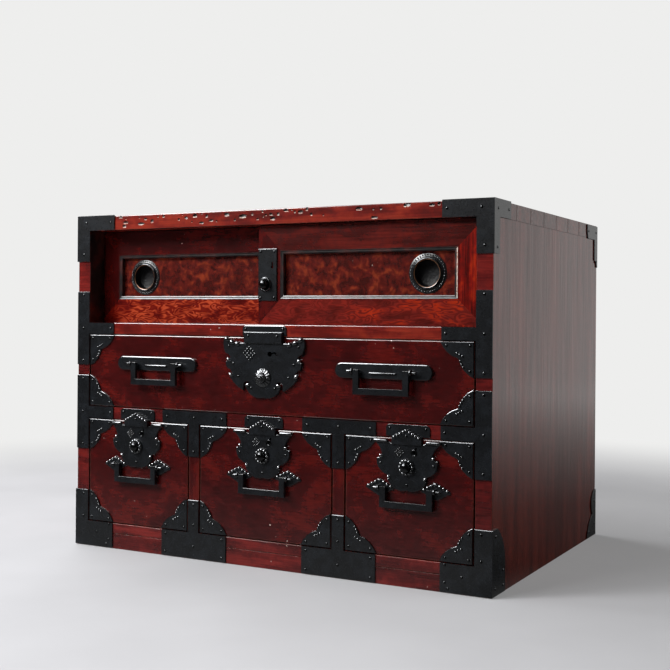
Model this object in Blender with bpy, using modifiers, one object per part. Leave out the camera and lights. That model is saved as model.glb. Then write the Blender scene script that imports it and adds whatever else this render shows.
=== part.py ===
"""A low tansu sea chest: a lacquered box bound in black iron, with two sliding doors
over one long drawer and a row of three short ones.

The front faces -Y, the base stands on z = 0 and x = 0 is the middle of the chest.
"""

import math

import bmesh
import bpy
from mathutils import Vector

MM = 0.001

# Carcass boards and openings, from the floor up
WIDTH = 600 * MM
DEPTH = 427 * MM
SIDE_BOARD = 20 * MM
BASE_BOARD = 20 * MM
FLOOR_BOARD = 14 * MM
SMALL_OPENING = 140 * MM
LOWER_SHELF = 16 * MM
LARGE_OPENING = 98 * MM
UPPER_SHELF = 15 * MM
DOOR_OPENING = 125 * MM
TOP_BOARD = 19 * MM
BACK_PANEL = 8 * MM
POST = 16 * MM
MIDDLE_OPENING = 195 * MM

# Thin pins of the sides that come up through the ends of the top board
PIN = 3 * MM
PIN_PITCH = 51.4 * MM
FIRST_PIN = 79 * MM

# Sliding doors, the right one on the front track
DOOR_SET_BACK = 9 * MM
DOOR_THICK = 18 * MM
DOOR_SPACING = 3 * MM
DOOR_LAP = 30 * MM
DOOR_MEMBER = 32 * MM
TONGUE_THICK = 10 * MM
TOP_GROOVE = 8 * MM
BOTTOM_GROOVE = 4 * MM
SIDE_GROOVE = 6 * MM
PANEL_THICK = 6 * MM
PANEL_RECESS = 6 * MM
PANEL_EDGE = 5 * MM
PULL_FROM_STILE = 40 * MM
PULL_FLANGE = 24 * MM
PULL_MOUTH = 16 * MM
PULL_WALL = 1.4 * MM
PULL_DEPTH = 8 * MM
PULL_RISE = 3.2 * MM

# Drawers
DRAWER_FRONT = 20 * MM
DRAWER_SIDE = 9 * MM
DRAWER_BOTTOM = 6 * MM
DRAWER_REST = 6 * MM
TRAY_DROP = 14 * MM

# Iron fittings
IRON = 1.2 * MM
IRON_REACH = 42 * MM
IRON_LIFT = 0.8 * MM
TAB_DEPTH = 53 * MM
BASE_TAB_DEPTH = 41 * MM
TAB_STRIP = 16 * MM
CORNER_REACH = 41 * MM
CORNER_CUSP = 19 * MM
CORNER_BOW = 3.5 * MM
CORNER_INSET = 0.6 * MM
LARGE_STRIKE_HALF = 32 * MM
SMALL_STRIKE_HALF = 28 * MM
STRIKE_EDGE = 1 * MM
STRIKE_ROUND = 5 * MM
STRIKE_BOW = 1.5 * MM

# Locks
LOCK_PLATE = 1.7 * MM
LOCK_RAISED = 1.8 * MM
LOCK_BODY_HALF = 17 * MM
LOCK_BODY_INSIDE = 4 * MM
STRAP_HALF = 28 * MM
STRAP_ABOVE = 6 * MM
STRAP_BELOW = 8.6 * MM
CROWN_HALF = 19 * MM
CROWN_ABOVE = 10 * MM
CROWN_BELOW = 10 * MM
CROWN_BEAD_PITCH = 4.3 * MM
BEAD_BOW = 0.9 * MM
LARGE_BUTTON_DROP = 51 * MM
SMALL_BUTTON_DROP = 34 * MM
LARGE_KEYHOLE = (11 * MM, -21 * MM)
SMALL_KEYHOLE = (9 * MM, -17 * MM)
KEYHOLE_ROUND = 2.2 * MM
KEYHOLE_SLOT = 7 * MM
KEYHOLE_DEPTH = 6 * MM
KEYHOLE_STEPS = 5
LARGE_DIAMOND = (-20 * MM, -21 * MM)
SMALL_DIAMOND = (-9 * MM, -17 * MM)
DIAMOND_HALF = 7 * MM
COLLAR = 10 * MM
COLLAR_RISE = 3 * MM
COLLAR_PETALS = 16
COLLAR_SCALLOP = 0.6 * MM
BUTTON = 6 * MM
BUTTON_DOME = 4 * MM
BUTTON_STAND = 5 * MM
BUTTON_SHANK = 9 * MM
BUTTON_TRAVEL = 4 * MM
DOOR_LOCK_WIDTH = 27 * MM
DOOR_LOCK_HEIGHT = 65 * MM
DOOR_LOCK_PLATE = 1.5 * MM
DOOR_KEYHOLE = (7 * MM, 9 * MM)
DOOR_BUTTON = (-3 * MM, -12 * MM)
DOOR_BUTTON_SHANK = 7 * MM

# Right halves of the lock plates, from the top middle round to the foot, in millimetres from
# the lower edge of the rail above: across, up and the bow of the arc to the next corner.
# The large one has horns, notched flanks, tails and a round foot
LARGE_LOCK = (
    (0, -8),
    (35, -8, -1.6),
    (42.5, -7, -1.6),
    (50, -3.5, -1.6),
    (58, -1.8, 2.5),
    (55.5, -21.5, -1.2),
    (49, -26, -1.2),
    (55, -31.5, 1.2),
    (52.5, -40.5, -1.2),
    (46.5, -45, -1.2),
    (49.5, -51, 1.8),
    (29, -67.5),
    (28, -58.5, -2),
    (20, -57, -1.5),
    (25.5, -62, 6),
    (0, -75.5),
)
# A small one has a flat shoulder, heart-shaped notches and a round foot
SMALL_LOCK = (
    (0, -7),
    (19.5, -7, -1),
    (26, -3),
    (42, -3),
    (41, -6.5, -1.6),
    (32, -20, -1.5),
    (38.5, -25, 3),
    (31, -41.5, 0.8),
    (22.5, -44.5, -1.2),
    (25, -49, 5.5),
    (0, -61),
)

# Bail handles and the eyes that carry them
BAIL_BAR = 7.5 * MM
BAIL_THICK = 4.5 * MM
BAIL_HEAD = 1.9 * MM
LARGE_BAIL_HALF = 36 * MM
LARGE_BAIL_DROP = 27.3 * MM
SMALL_BAIL_HALF = 33.5 * MM
SMALL_BAIL_DROP = 22.5 * MM
LARGE_PIVOT_DROP = 38.5 * MM
SMALL_PIVOT_DROP = 60 * MM
LARGE_PIVOT_OUT = 8.5 * MM
SMALL_PIVOT_OUT = 4.8 * MM
HANDLE_FROM_END = 115 * MM
PIN_RADIUS = 1.7 * MM
PIN_LENGTH = 10 * MM
EYE_RADIUS = 3.6 * MM
EYE_THICK = 3 * MM
EYE_GAP = 0.6 * MM
HANDLE_PLATE = 3.5 * MM
HANDLE_PLATE_HALF = 63.5 * MM
HANDLE_PLATE_HEIGHT = 18 * MM
HANDLE_PLATE_RAISE = 0.5 * MM
STOP_BAR_HALF = 18 * MM
STOP_BAR_HEIGHT = 2.5 * MM
STOP_BAR_RISE = 2 * MM
STOP_BAR_DROP = 2 * MM
LOZENGE_HALF = 18.5 * MM
LOZENGE_RISE = 9.7 * MM
LOZENGE_BEAD_PITCH = 5.2 * MM

# Clearances: SEAT between pieces that touch, RUN round a drawer, SLIDE round a door
SEAT = 0.3 * MM
RUN = 1 * MM
SLIDE = 0.8 * MM
OVERCUT = 1 * MM
ARC_STEP = math.radians(34)
TURN_STEPS = 20
PIN_SIDES = 12
DOME_STEPS = 3
# The bow of a round end, as a share of its radius: just short of a half circle
HALF_TURN = 0.999

# Planes and levels that follow from the sizes above
FRONT = -DEPTH / 2
REAR = DEPTH / 2
INNER = WIDTH / 2 - SIDE_BOARD
SMALL_LOW = BASE_BOARD + FLOOR_BOARD
SMALL_HIGH = SMALL_LOW + SMALL_OPENING
LARGE_LOW = SMALL_HIGH + LOWER_SHELF
LARGE_HIGH = LARGE_LOW + LARGE_OPENING
DOOR_LOW = LARGE_HIGH + UPPER_SHELF
DOOR_HIGH = DOOR_LOW + DOOR_OPENING
HEIGHT = DOOR_HIGH + TOP_BOARD
INSIDE_REAR = REAR - BACK_PANEL
POST_INNER = MIDDLE_OPENING / 2
POST_OUTER = POST_INNER + POST
POST_X = (POST_INNER + POST_OUTER) / 2
FRONT_TRACK = FRONT + DOOR_SET_BACK
REAR_TRACK = FRONT_TRACK + DOOR_THICK + DOOR_SPACING
PANEL_MIDDLE = (DOOR_LOW + DOOR_HIGH) / 2
IRON_FACE = FRONT - SEAT - IRON
LOCK_REAR = FRONT - IRON - 2 * SEAT
LOCK_FACE = LOCK_REAR - LOCK_PLATE


def new_collection(name):
    """A collection of the scene."""
    made = bpy.data.collections.new(name)
    bpy.context.scene.collection.children.link(made)
    return made


def paint(name, colour, roughness, metallic):
    """A Principled material from a linear colour."""
    made = bpy.data.materials.new(name)
    made.use_nodes = True
    shader = made.node_tree.nodes["Principled BSDF"]
    shader.inputs["Base Color"].default_value = (*colour, 1.0)
    shader.inputs["Roughness"].default_value = roughness
    shader.inputs["Metallic"].default_value = metallic
    return made


for old in list(bpy.data.objects):
    bpy.data.objects.remove(old, do_unlink=True)

PARTS = new_collection("tansu_sea_chest")
TOOLS = new_collection("cutters_and_joined_shapes")
RED_LACQUER = paint("red_lacquer_zelkova", (0.13, 0.012, 0.01), 0.3, 0.0)
DARK_LACQUER = paint("dark_lacquer_sides", (0.06, 0.015, 0.012), 0.25, 0.0)
BURL_PANEL = paint("figured_door_panel", (0.2, 0.025, 0.012), 0.28, 0.0)
PALE_WOOD = paint("paulownia_drawer_wood", (0.45, 0.3, 0.17), 0.7, 0.0)
BLACK_IRON = paint("black_wrought_iron", (0.02, 0.02, 0.022), 0.45, 0.9)


def box_mesh(x, y, z):
    """A box between three pairs of limits."""
    mesh = bmesh.new()
    bmesh.ops.create_cube(mesh, size=1.0)
    limits = (x, y, z)
    for vertex in mesh.verts:
        vertex.co = [low + (high - low) * (c + 0.5) for c, (low, high) in zip(vertex.co, limits)]
    return mesh


def rod_mesh(start, end, radius, sides):
    """A round rod from one point to another."""
    run = Vector(end) - Vector(start)
    mesh = bmesh.new()
    bmesh.ops.create_cone(
        mesh, cap_ends=True, segments=sides, radius1=radius, radius2=radius, depth=run.length
    )
    turn = Vector((0, 0, 1)).rotation_difference(run).to_matrix()
    middle = (Vector(start) + Vector(end)) / 2
    for vertex in mesh.verts:
        vertex.co = turn @ vertex.co + middle
    return mesh


def arc(start, end, bow):
    """Points from start towards end on an arc that rises by bow to the left of the way."""
    chord = Vector(end) - Vector(start)
    angle = 4 * math.atan(2 * bow / chord.length)
    steps = max(2, math.ceil(abs(angle) / ARC_STEP))
    left = Vector((-chord.y, chord.x)).normalized()
    radius = (chord.length**2 / 4 + bow**2) / (2 * bow)
    centre = (Vector(start) + Vector(end)) / 2 + left * (bow - radius)
    arm = Vector(start) - centre
    turns = [-angle * i / steps for i in range(steps)]
    return [
        (
            centre.x + arm.x * math.cos(t) - arm.y * math.sin(t),
            centre.y + arm.x * math.sin(t) + arm.y * math.cos(t),
        )
        for t in turns
    ]


def path(corners):
    """An open outline: each corner is (u, v) or (u, v, bow of the arc to the next corner)."""
    points = []
    for here, after in zip(corners, corners[1:]):
        if len(here) == 3:
            points += arc(here[:2], after[:2], here[2])
        else:
            points.append(here[:2])
    points.append(corners[-1][:2])
    return points


def both_sides(half):
    """A closed outline from its right half, run from the top middle to the bottom middle."""
    right = path(half)
    left = [(-u, v) for u, v in reversed(right) if u > 0]
    return right + left


def shifted(points, u, v):
    """An outline moved in its plane."""
    return [(a + u, b + v) for a, b in points]


def beaded(start, end, pitch, bow):
    """Corners of an edge made of equal small bows, as near to a pitch as fills it."""
    whole = Vector(end) - Vector(start)
    count = max(1, round(whole.length / pitch))
    run = whole / count
    return [(start[0] + run.x * i, start[1] + run.y * i, bow) for i in range(count)]


def turns_at(before, here, after):
    """Whether an outline bends at a point, and not merely passes through it."""
    first = Vector(here) - Vector(before)
    second = Vector(after) - Vector(here)
    return abs(first.cross(second)) > 1e-6 * first.length * second.length


def slab_mesh(outline, low, high, plane="front"):
    """A flat outline with thickness: u, v lie in x, z ("front") or in y, z ("side")."""
    around = zip(outline[-1:] + outline[:-1], outline, outline[1:] + outline[:1])
    points = [here for before, here, after in around if turns_at(before, here, after)]
    curve = bpy.data.curves.new("outline", "CURVE")
    curve.dimensions = "2D"
    curve.fill_mode = "BOTH"
    curve.extrude = (high - low) / 2
    spline = curve.splines.new("POLY")
    spline.points.add(len(points) - 1)
    for point, (u, v) in zip(spline.points, points):
        point.co = (u, v, 0, 1)
    spline.use_cyclic_u = True
    holder = bpy.data.objects.new("outline", curve)
    bpy.context.scene.collection.objects.link(holder)
    seen = holder.evaluated_get(bpy.context.evaluated_depsgraph_get())
    filled = bpy.data.meshes.new_from_object(seen)
    bpy.data.objects.remove(holder, do_unlink=True)
    mesh = bmesh.new()
    mesh.from_mesh(filled)
    bpy.data.meshes.remove(filled)
    bmesh.ops.remove_doubles(mesh, verts=mesh.verts, dist=0.001 * MM)
    middle = (low + high) / 2
    for vertex in mesh.verts:
        u, v, w = vertex.co
        w += middle
        vertex.co = {"front": (u, w, v), "side": (w, u, v)}[plane]
    bmesh.ops.recalc_face_normals(mesh, faces=mesh.faces)
    if mesh.calc_volume(signed=True) < 0:
        bmesh.ops.reverse_faces(mesh, faces=mesh.faces)
    return mesh


def put(name, mesh, collection, origin, parent):
    """An object from a mesh in world space, with its origin set and its parent, if any."""
    if origin is None:
        corners = [vertex.co for vertex in mesh.verts]
        origin = [(min(c[i] for c in corners) + max(c[i] for c in corners)) / 2 for i in range(3)]
    bmesh.ops.translate(mesh, verts=mesh.verts, vec=-Vector(origin))
    data = bpy.data.meshes.new(name)
    mesh.to_mesh(data)
    mesh.free()
    made = bpy.data.objects.new(name, data)
    made.location = origin
    if parent:
        made.parent = parent
        made.location = Vector(origin) - parent.location
    collection.objects.link(made)
    return made


def part(name, mesh, material, origin=None, parent=None):
    """A sub-part of the chest."""
    made = put(name, mesh, PARTS, origin, parent)
    made.data.materials.append(material)
    return made


def shape(target, mesh, operation):
    """Cut a mesh from a sub-part, or join it on, with a Boolean that stays live."""
    name = f"{target.name}_{operation.lower()}_{len(target.modifiers)}"
    tool = put(name, mesh, TOOLS, None, target.parent)
    tool.hide_render = True
    tool.display_type = "WIRE"
    change = target.modifiers.new(name, "BOOLEAN")
    change.operation = operation
    change.solver = "EXACT"
    change.object = tool


def cut(target, mesh):
    """Take a mesh out of a sub-part."""
    shape(target, mesh, "DIFFERENCE")


def join(target, mesh):
    """Add a mesh to a sub-part as one body."""
    shape(target, mesh, "UNION")


def turned(name, profile, place, material, parent):
    """A turned piece that faces -Y: its profile is (radius, height towards the front) from the top."""
    mesh = bmesh.new()
    points = [mesh.verts.new((radius, 0, height)) for radius, height in profile]
    for first, second in zip(points, points[1:]):
        mesh.edges.new((first, second))
    made = part(name, mesh, material, (0, 0, 0), None)
    made.parent = parent
    made.location = Vector(place) - parent.location
    made.rotation_euler = (math.pi / 2, 0, 0)
    screw = made.modifiers.new("turn", "SCREW")
    screw.steps = TURN_STEPS
    screw.render_steps = TURN_STEPS
    screw.use_merge_vertices = True
    screw.merge_threshold = 0.01 * MM
    screw.use_smooth_shade = True
    return made


def carrier(name, place):
    """An empty that carries the pieces of one moving body."""
    made = bpy.data.objects.new(name, None)
    made.location = place
    PARTS.objects.link(made)
    return made


def build_boards():
    """The boards of the carcass."""
    between = (-INNER + SEAT, INNER - SEAT)
    inside = (FRONT, INSIDE_REAR - SEAT)
    part("base_board", box_mesh(between, (FRONT, REAR), (0, BASE_BOARD)), RED_LACQUER)
    floor_levels = (BASE_BOARD + SEAT, SMALL_LOW)
    part("drawer_floor", box_mesh(between, inside, floor_levels), RED_LACQUER)
    back_levels = (BASE_BOARD + SEAT, DOOR_HIGH - SEAT)
    part("back_panel", box_mesh(between, (INSIDE_REAR, REAR), back_levels), PALE_WOOD)
    for side, name in ((-1, "left_post"), (1, "right_post")):
        across = sorted((side * POST_INNER, side * POST_OUTER))
        part(name, box_mesh(across, inside, (SMALL_LOW + SEAT, SMALL_HIGH - SEAT)), RED_LACQUER)
    lower = part("lower_shelf", box_mesh(between, inside, (SMALL_HIGH, LARGE_LOW)), RED_LACQUER)
    for centre in small_centres():
        join(lower, strike_mesh(centre, SMALL_STRIKE_HALF, SMALL_HIGH, LARGE_LOW))
    upper = part("upper_shelf", box_mesh(between, inside, (LARGE_HIGH, DOOR_LOW)), RED_LACQUER)
    join(upper, strike_mesh(0, LARGE_STRIKE_HALF, LARGE_HIGH, DOOR_LOW))
    whole = (-WIDTH / 2, WIDTH / 2)
    top = part("top_board", box_mesh(whole, (FRONT, REAR), (DOOR_HIGH, HEIGHT)), RED_LACQUER)
    room = PIN / 2 + SEAT
    for y in pin_places():
        for slot in ((INNER - SEAT, WIDTH), (-WIDTH, SEAT - INNER)):
            cut(top, box_mesh(slot, (y - room, y + room), (0, HEIGHT + OVERCUT)))
    for face in (FRONT_TRACK, REAR_TRACK):
        along = tongue_limits(face, SLIDE)
        cut(upper, box_mesh((-WIDTH, WIDTH), along, (DOOR_LOW - BOTTOM_GROOVE, DOOR_LOW + OVERCUT)))
        groove = (DOOR_HIGH - OVERCUT, DOOR_HIGH + TOP_GROOVE)
        cut(top, box_mesh((-INNER, INNER), along, groove))
    for side, name, track in ((-1, "left_side", REAR_TRACK), (1, "right_side", FRONT_TRACK)):
        across = sorted((side * INNER, side * WIDTH / 2))
        board = part(name, slab_mesh(side_outline(), *across, "side"), DARK_LACQUER)
        depth = sorted((side * (INNER - OVERCUT), side * (INNER + SIDE_GROOVE)))
        along = (track - SLIDE, track + DOOR_THICK + SLIDE)
        cut(board, box_mesh(depth, along, (DOOR_LOW, DOOR_HIGH + OVERCUT)))
        for low, high, tip in (
            (DOOR_HIGH, HEIGHT - IRON_LIFT, DOOR_HIGH - IRON_REACH),
            (SMALL_LOW, IRON_LIFT, SMALL_LOW + IRON_REACH),
        ):
            join_back_corner(board, side, low, high, tip)


def pin_places():
    """Where the sides' pins stand along the depth."""
    count = int((DEPTH - FIRST_PIN - PIN) // PIN_PITCH) + 1
    return [FRONT + FIRST_PIN + PIN_PITCH * i for i in range(count)]


def side_outline():
    """A side board from the side: square at the foot, with pins standing on its upper edge."""
    shoulder = DOOR_HIGH - SEAT
    outline = [(FRONT, 0), (FRONT, shoulder)]
    for y in pin_places():
        outline += [(y - PIN / 2, shoulder), (y - PIN / 2, HEIGHT)]
        outline += [(y + PIN / 2, HEIGHT), (y + PIN / 2, shoulder)]
    return outline + [(REAR, shoulder), (REAR, 0)]


def small_centres():
    """The middles of the three short drawers."""
    outer = (POST_OUTER + INNER) / 2
    return (-outer, 0, outer)


def strike_mesh(centre, half, low, high):
    """The iron strike plate on a rail above a lock, with rounded upper corners."""
    top = high - STRIKE_EDGE
    outline = both_sides(
        [
            (0, top),
            (half - STRIKE_ROUND, top, STRIKE_BOW),
            (half, top - STRIKE_ROUND),
            (half, low + STRIKE_EDGE),
            (0, low + STRIKE_EDGE),
        ]
    )
    return slab_mesh(shifted(outline, centre, 0), FRONT - IRON, FRONT + IRON)


def join_back_corner(board, side, rail, edge, tip):
    """The iron on a rear corner: a tab on the side with a strip along the rear edge, nailed to the board."""
    edge_y = REAR - IRON_LIFT
    strip = REAR - TAB_STRIP
    tab = REAR - TAB_DEPTH
    outline = [(tab, rail), (strip, rail), (strip, tip), (edge_y, tip), (edge_y, edge), (tab, edge)]
    face = WIDTH / 2 + SEAT
    nailed = sorted((side * (WIDTH / 2 - IRON), side * (face + IRON / 2)))
    levels = sorted((rail, tip))
    lap = (levels[0] + OVERCUT, levels[1] - OVERCUT)
    join(board, box_mesh(nailed, (strip + OVERCUT, edge_y - OVERCUT), lap))
    join(board, slab_mesh(outline, *sorted((side * face, side * (face + IRON))), "side"))


def tongue_limits(face, room):
    """The depth limits of a door's tongue, or of its groove with room to slide."""
    middle = face + DOOR_THICK / 2
    half = TONGUE_THICK / 2 + room
    return (middle - half, middle + half)


def build_frame_irons():
    """The irons that bind the front frame, left and right."""
    for side, word in ((-1, "left"), (1, "right")):
        wrap_corner(f"top_{word}_corner", side, HEIGHT, DOOR_HIGH, DOOR_HIGH - IRON_REACH, TAB_DEPTH)
        foot = IRON_LIFT
        wrap_corner(f"base_{word}_corner", side, foot, SMALL_LOW, SMALL_LOW + IRON_REACH, BASE_TAB_DEPTH)
        for name, low, high in (("upper", LARGE_HIGH, DOOR_LOW), ("lower", SMALL_HIGH, LARGE_LOW)):
            outline = [
                (INNER - IRON_REACH, low),
                (INNER - IRON_REACH, high),
                (INNER, high),
                (INNER, high + IRON_REACH),
                (WIDTH / 2, high + IRON_REACH),
                (WIDTH / 2, low - IRON_REACH),
                (INNER, low - IRON_REACH),
                (INNER, low),
            ]
            outline = [(side * u, v) for u, v in outline]
            part(f"{name}_{word}_band", slab_mesh(outline, IRON_FACE, FRONT - SEAT), BLACK_IRON)
        tee(f"{word}_rail_tee", side * POST_X, SMALL_HIGH, LARGE_LOW, SMALL_HIGH - IRON_REACH)
        tee(f"{word}_base_tee", side * POST_X, SMALL_LOW, IRON_LIFT, SMALL_LOW + IRON_REACH)


def tee(name, centre, near, far, tip):
    """A tee iron on a rail, with its stem on a post."""
    arm = POST / 2 + IRON_REACH
    half = [(0, far), (arm, far), (arm, near), (POST / 2, near), (POST / 2, tip), (0, tip)]
    outline = shifted(both_sides(half), centre, 0)
    part(name, slab_mesh(outline, IRON_FACE, FRONT - SEAT), BLACK_IRON)


def wrap_corner(name, side, edge, rail, tip, tab):
    """A corner iron: an ell on the front, wrapped round onto the side, and onto the top at the head."""
    outer = WIDTH / 2 + SEAT + IRON
    at_head = edge == HEIGHT
    rim = edge + SEAT + IRON if at_head else edge
    inner = INNER - IRON_REACH
    outline = [(inner, rim), (outer, rim), (outer, tip), (INNER, tip), (INNER, rail), (inner, rail)]
    outline = [(side * u, v) for u, v in outline]
    iron = part(name, slab_mesh(outline, IRON_FACE, FRONT - SEAT), BLACK_IRON)
    start = FRONT - SEAT - IRON / 2
    lap = [
        (start, rim),
        (FRONT + tab, rim),
        (FRONT + tab, rail),
        (FRONT + TAB_STRIP, rail),
        (FRONT + TAB_STRIP, tip),
        (start, tip),
    ]
    across = sorted((side * (WIDTH / 2 + SEAT), side * outer))
    join(iron, slab_mesh(lap, *across, "side"))
    if at_head:
        over = sorted((side * INNER, side * (outer - IRON / 2)))
        join(iron, box_mesh(over, (start, FRONT + tab), (HEIGHT + SEAT, rim)))


def build_door(word, side, face):
    """A framed sliding door with its panel and round pull: side is where it stands when shut."""
    outer = side * (INNER + SIDE_GROOVE - SEAT)
    meeting = -side * DOOR_LAP / 2
    body = carrier(f"{word}_door", ((outer + meeting) / 2, face, DOOR_LOW))
    low = DOOR_LOW + SEAT
    high = DOOR_HIGH - SLIDE
    across = sorted((outer, meeting))
    frame = part(
        f"{word}_door_frame",
        box_mesh(across, (face, face + DOOR_THICK), (low, high)),
        RED_LACQUER,
        None,
        body,
    )
    runs = sorted((side * (INNER - RUN), meeting))
    along = tongue_limits(face, 0)
    join(frame, box_mesh(runs, along, (high - OVERCUT, DOOR_HIGH + TOP_GROOVE - SLIDE)))
    join(frame, box_mesh(runs, along, (DOOR_LOW - BOTTOM_GROOVE + SEAT, low + OVERCUT)))
    window = (across[0] + DOOR_MEMBER, across[1] - DOOR_MEMBER)
    sill = low + DOOR_MEMBER
    head = high - DOOR_MEMBER
    through = (face - OVERCUT, face + DOOR_THICK + OVERCUT)
    cut(frame, box_mesh(window, through, (sill, head)))
    panel_face = face + PANEL_RECESS
    panel_depth = (panel_face, panel_face + PANEL_THICK)
    grow = PANEL_EDGE + SEAT
    cut(
        frame,
        box_mesh(
            (window[0] - grow, window[1] + grow),
            (panel_depth[0] - SEAT, panel_depth[1] + SEAT),
            (sill - grow, head + grow),
        ),
    )
    panel = part(
        f"{word}_door_panel",
        box_mesh(
            (window[0] - PANEL_EDGE, window[1] + PANEL_EDGE),
            panel_depth,
            (sill - PANEL_EDGE, head + PANEL_EDGE),
        ),
        BURL_PANEL,
        None,
        body,
    )
    pull_x = outer - side * (DOOR_MEMBER + PULL_FROM_STILE)
    middle = (sill + head) / 2
    cup = PULL_MOUTH + PULL_WALL
    hole = rod_mesh(
        (pull_x, panel_depth[0] - OVERCUT, middle),
        (pull_x, panel_depth[1] + OVERCUT, middle),
        cup + SEAT,
        TURN_STEPS,
    )
    cut(panel, hole)
    rim = (PULL_MOUTH + PULL_FLANGE) / 2
    profile = [
        (0, -PULL_DEPTH),
        (PULL_MOUTH, -PULL_DEPTH),
        (PULL_MOUTH, PULL_RISE / 2),
        (rim, PULL_RISE),
        (PULL_FLANGE, PULL_RISE / 2),
        (PULL_FLANGE, SEAT),
        (cup, SEAT),
        (cup, -PULL_DEPTH - PULL_WALL),
        (0, -PULL_DEPTH - PULL_WALL),
    ]
    turned(f"{word}_door_pull", profile, (pull_x, panel_face, middle), BLACK_IRON, body)
    return frame, body


def build_door_lock(frame, body, face):
    """The lock strip on the meeting stile of the front door, and its push button."""
    low_x = -DOOR_LAP / 2
    centre = low_x + DOOR_LOCK_WIDTH / 2 + SEAT
    half = DOOR_LOCK_WIDTH / 2
    rise = DOOR_LOCK_HEIGHT / 2
    rear = face - SEAT
    outline = both_sides([(0, rise), (half, rise), (half, -rise), (0, -rise)])
    outline = shifted(outline, centre, PANEL_MIDDLE)
    plate = part(
        "door_lock_plate",
        slab_mesh(outline, rear - DOOR_LOCK_PLATE, rear),
        BLACK_IRON,
        None,
        body,
    )
    through = (rear - DOOR_LOCK_PLATE - OVERCUT, rear + OVERCUT)
    keyhole = (centre + DOOR_KEYHOLE[0], PANEL_MIDDLE + DOOR_KEYHOLE[1])
    cut(plate, slab_mesh(keyhole_outline(*keyhole), *through))
    place = (centre + DOOR_BUTTON[0], rear - DOOR_LOCK_PLATE, PANEL_MIDDLE + DOOR_BUTTON[1])
    cut(plate, button_bore(place, OVERCUT + DOOR_LOCK_PLATE))
    cut(frame, button_bore(place, DOOR_BUTTON_SHANK + BUTTON_TRAVEL + OVERCUT))
    button("door_lock_button", place, DOOR_BUTTON_SHANK, body)


def keyhole_outline(u, v):
    """A round hole with a slot half as wide above it."""
    start = math.asin(0.5)
    turns = [start + (math.pi - start) * i / KEYHOLE_STEPS for i in range(KEYHOLE_STEPS + 1)]
    rounded = [(KEYHOLE_ROUND * math.sin(t), KEYHOLE_ROUND * math.cos(t)) for t in turns]
    right = [(KEYHOLE_ROUND / 2, KEYHOLE_SLOT)] + rounded[:-1]
    left = [(-a, b) for a, b in reversed(right)]
    return shifted(right + [(0, -KEYHOLE_ROUND)] + left, u, v)


def button_bore(place, depth):
    """The bore that a button slides in, from in front of its plate to a depth behind the face."""
    x, y, z = place
    return rod_mesh((x, y - COLLAR_RISE * 2, z), (x, y + depth, z), BUTTON + SEAT, TURN_STEPS)


def button(name, place, shank, parent):
    """A domed push button on its shank."""
    start = BUTTON_STAND + BUTTON_DOME
    quarter = [math.pi / 2 * i / DOME_STEPS for i in range(DOME_STEPS + 1)]
    dome = [(BUTTON * math.sin(a), start - BUTTON_DOME * (1 - math.cos(a))) for a in quarter]
    profile = dome + [(BUTTON, -shank), (0, -shank)]
    turned(name, profile, place, BLACK_IRON, parent)


def lock_half(corners):
    """The right half of a lock plate in metres, from its corners in millimetres."""
    return [tuple(MM * value for value in corner) for corner in corners]


def crown_outline():
    """The beaded mountain-shaped crown of a small lock, which stands up over its strike plate."""
    base = (CROWN_HALF, 0)
    right = beaded((0, CROWN_ABOVE), base, CROWN_BEAD_PITCH, BEAD_BOW)
    return both_sides(right + [base, (0, -CROWN_BELOW)])


def strap_outline():
    """The square strap of the large lock, which laps the rail above."""
    half = [(0, STRAP_ABOVE), (STRAP_HALF, STRAP_ABOVE), (STRAP_HALF, -STRAP_BELOW - OVERCUT)]
    return both_sides(half + [(0, -STRAP_BELOW - OVERCUT)])


def diamond_outline(half, rise):
    """A plain lozenge."""
    return [(0, rise), (half, 0), (0, -rise), (-half, 0)]


def petal_outline():
    """The scalloped rim of a chrysanthemum collar."""
    count = COLLAR_PETALS * 3
    turns = [2 * math.pi * i / count for i in range(count)]
    radii = [COLLAR + COLLAR_SCALLOP * math.cos(COLLAR_PETALS * t) for t in turns]
    return [(r * math.sin(t), r * math.cos(t)) for r, t in zip(radii, turns)]


def build_lock(word, front, body, centre, level, half, raised, keyhole, diamond, button_drop):
    """A lock: face plate, raised crown or strap, collar and the case let in through the drawer front."""
    outline = shifted(both_sides(half), centre, level)
    plate = part(
        f"{word}_lock_plate", slab_mesh(outline, LOCK_FACE, LOCK_REAR), BLACK_IRON, None, body
    )
    buried = LOCK_REAR - LOCK_PLATE / 2
    top = LOCK_FACE - LOCK_RAISED
    join(plate, slab_mesh(shifted(raised, centre, level), top, buried))
    ornament = diamond_outline(DIAMOND_HALF, DIAMOND_HALF)
    ornament = shifted(ornament, centre + diamond[0], level + diamond[1])
    join(plate, slab_mesh(ornament, LOCK_FACE - LOCK_RAISED / 2, buried))
    place = (centre, LOCK_FACE, level - button_drop)
    collar = shifted(petal_outline(), centre, place[2])
    join(plate, slab_mesh(collar, LOCK_FACE - COLLAR_RISE, buried))
    across = (centre - LOCK_BODY_HALF, centre + LOCK_BODY_HALF)
    rise = (place[2] - COLLAR, level + keyhole[1] + COLLAR)
    inside = FRONT + DRAWER_FRONT + LOCK_BODY_INSIDE
    join(plate, box_mesh(across, (buried, inside), rise))
    cut(
        front,
        box_mesh(
            (across[0] - SEAT, across[1] + SEAT),
            (FRONT - OVERCUT, inside),
            (rise[0] - SEAT, rise[1] + SEAT),
        ),
    )
    cut(plate, button_bore(place, BUTTON_SHANK + BUTTON_TRAVEL + OVERCUT))
    hole = keyhole_outline(centre + keyhole[0], level + keyhole[1])
    cut(plate, slab_mesh(hole, LOCK_FACE - OVERCUT, LOCK_FACE + KEYHOLE_DEPTH))
    button(f"{word}_lock_button", place, BUTTON_SHANK, body)


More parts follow.
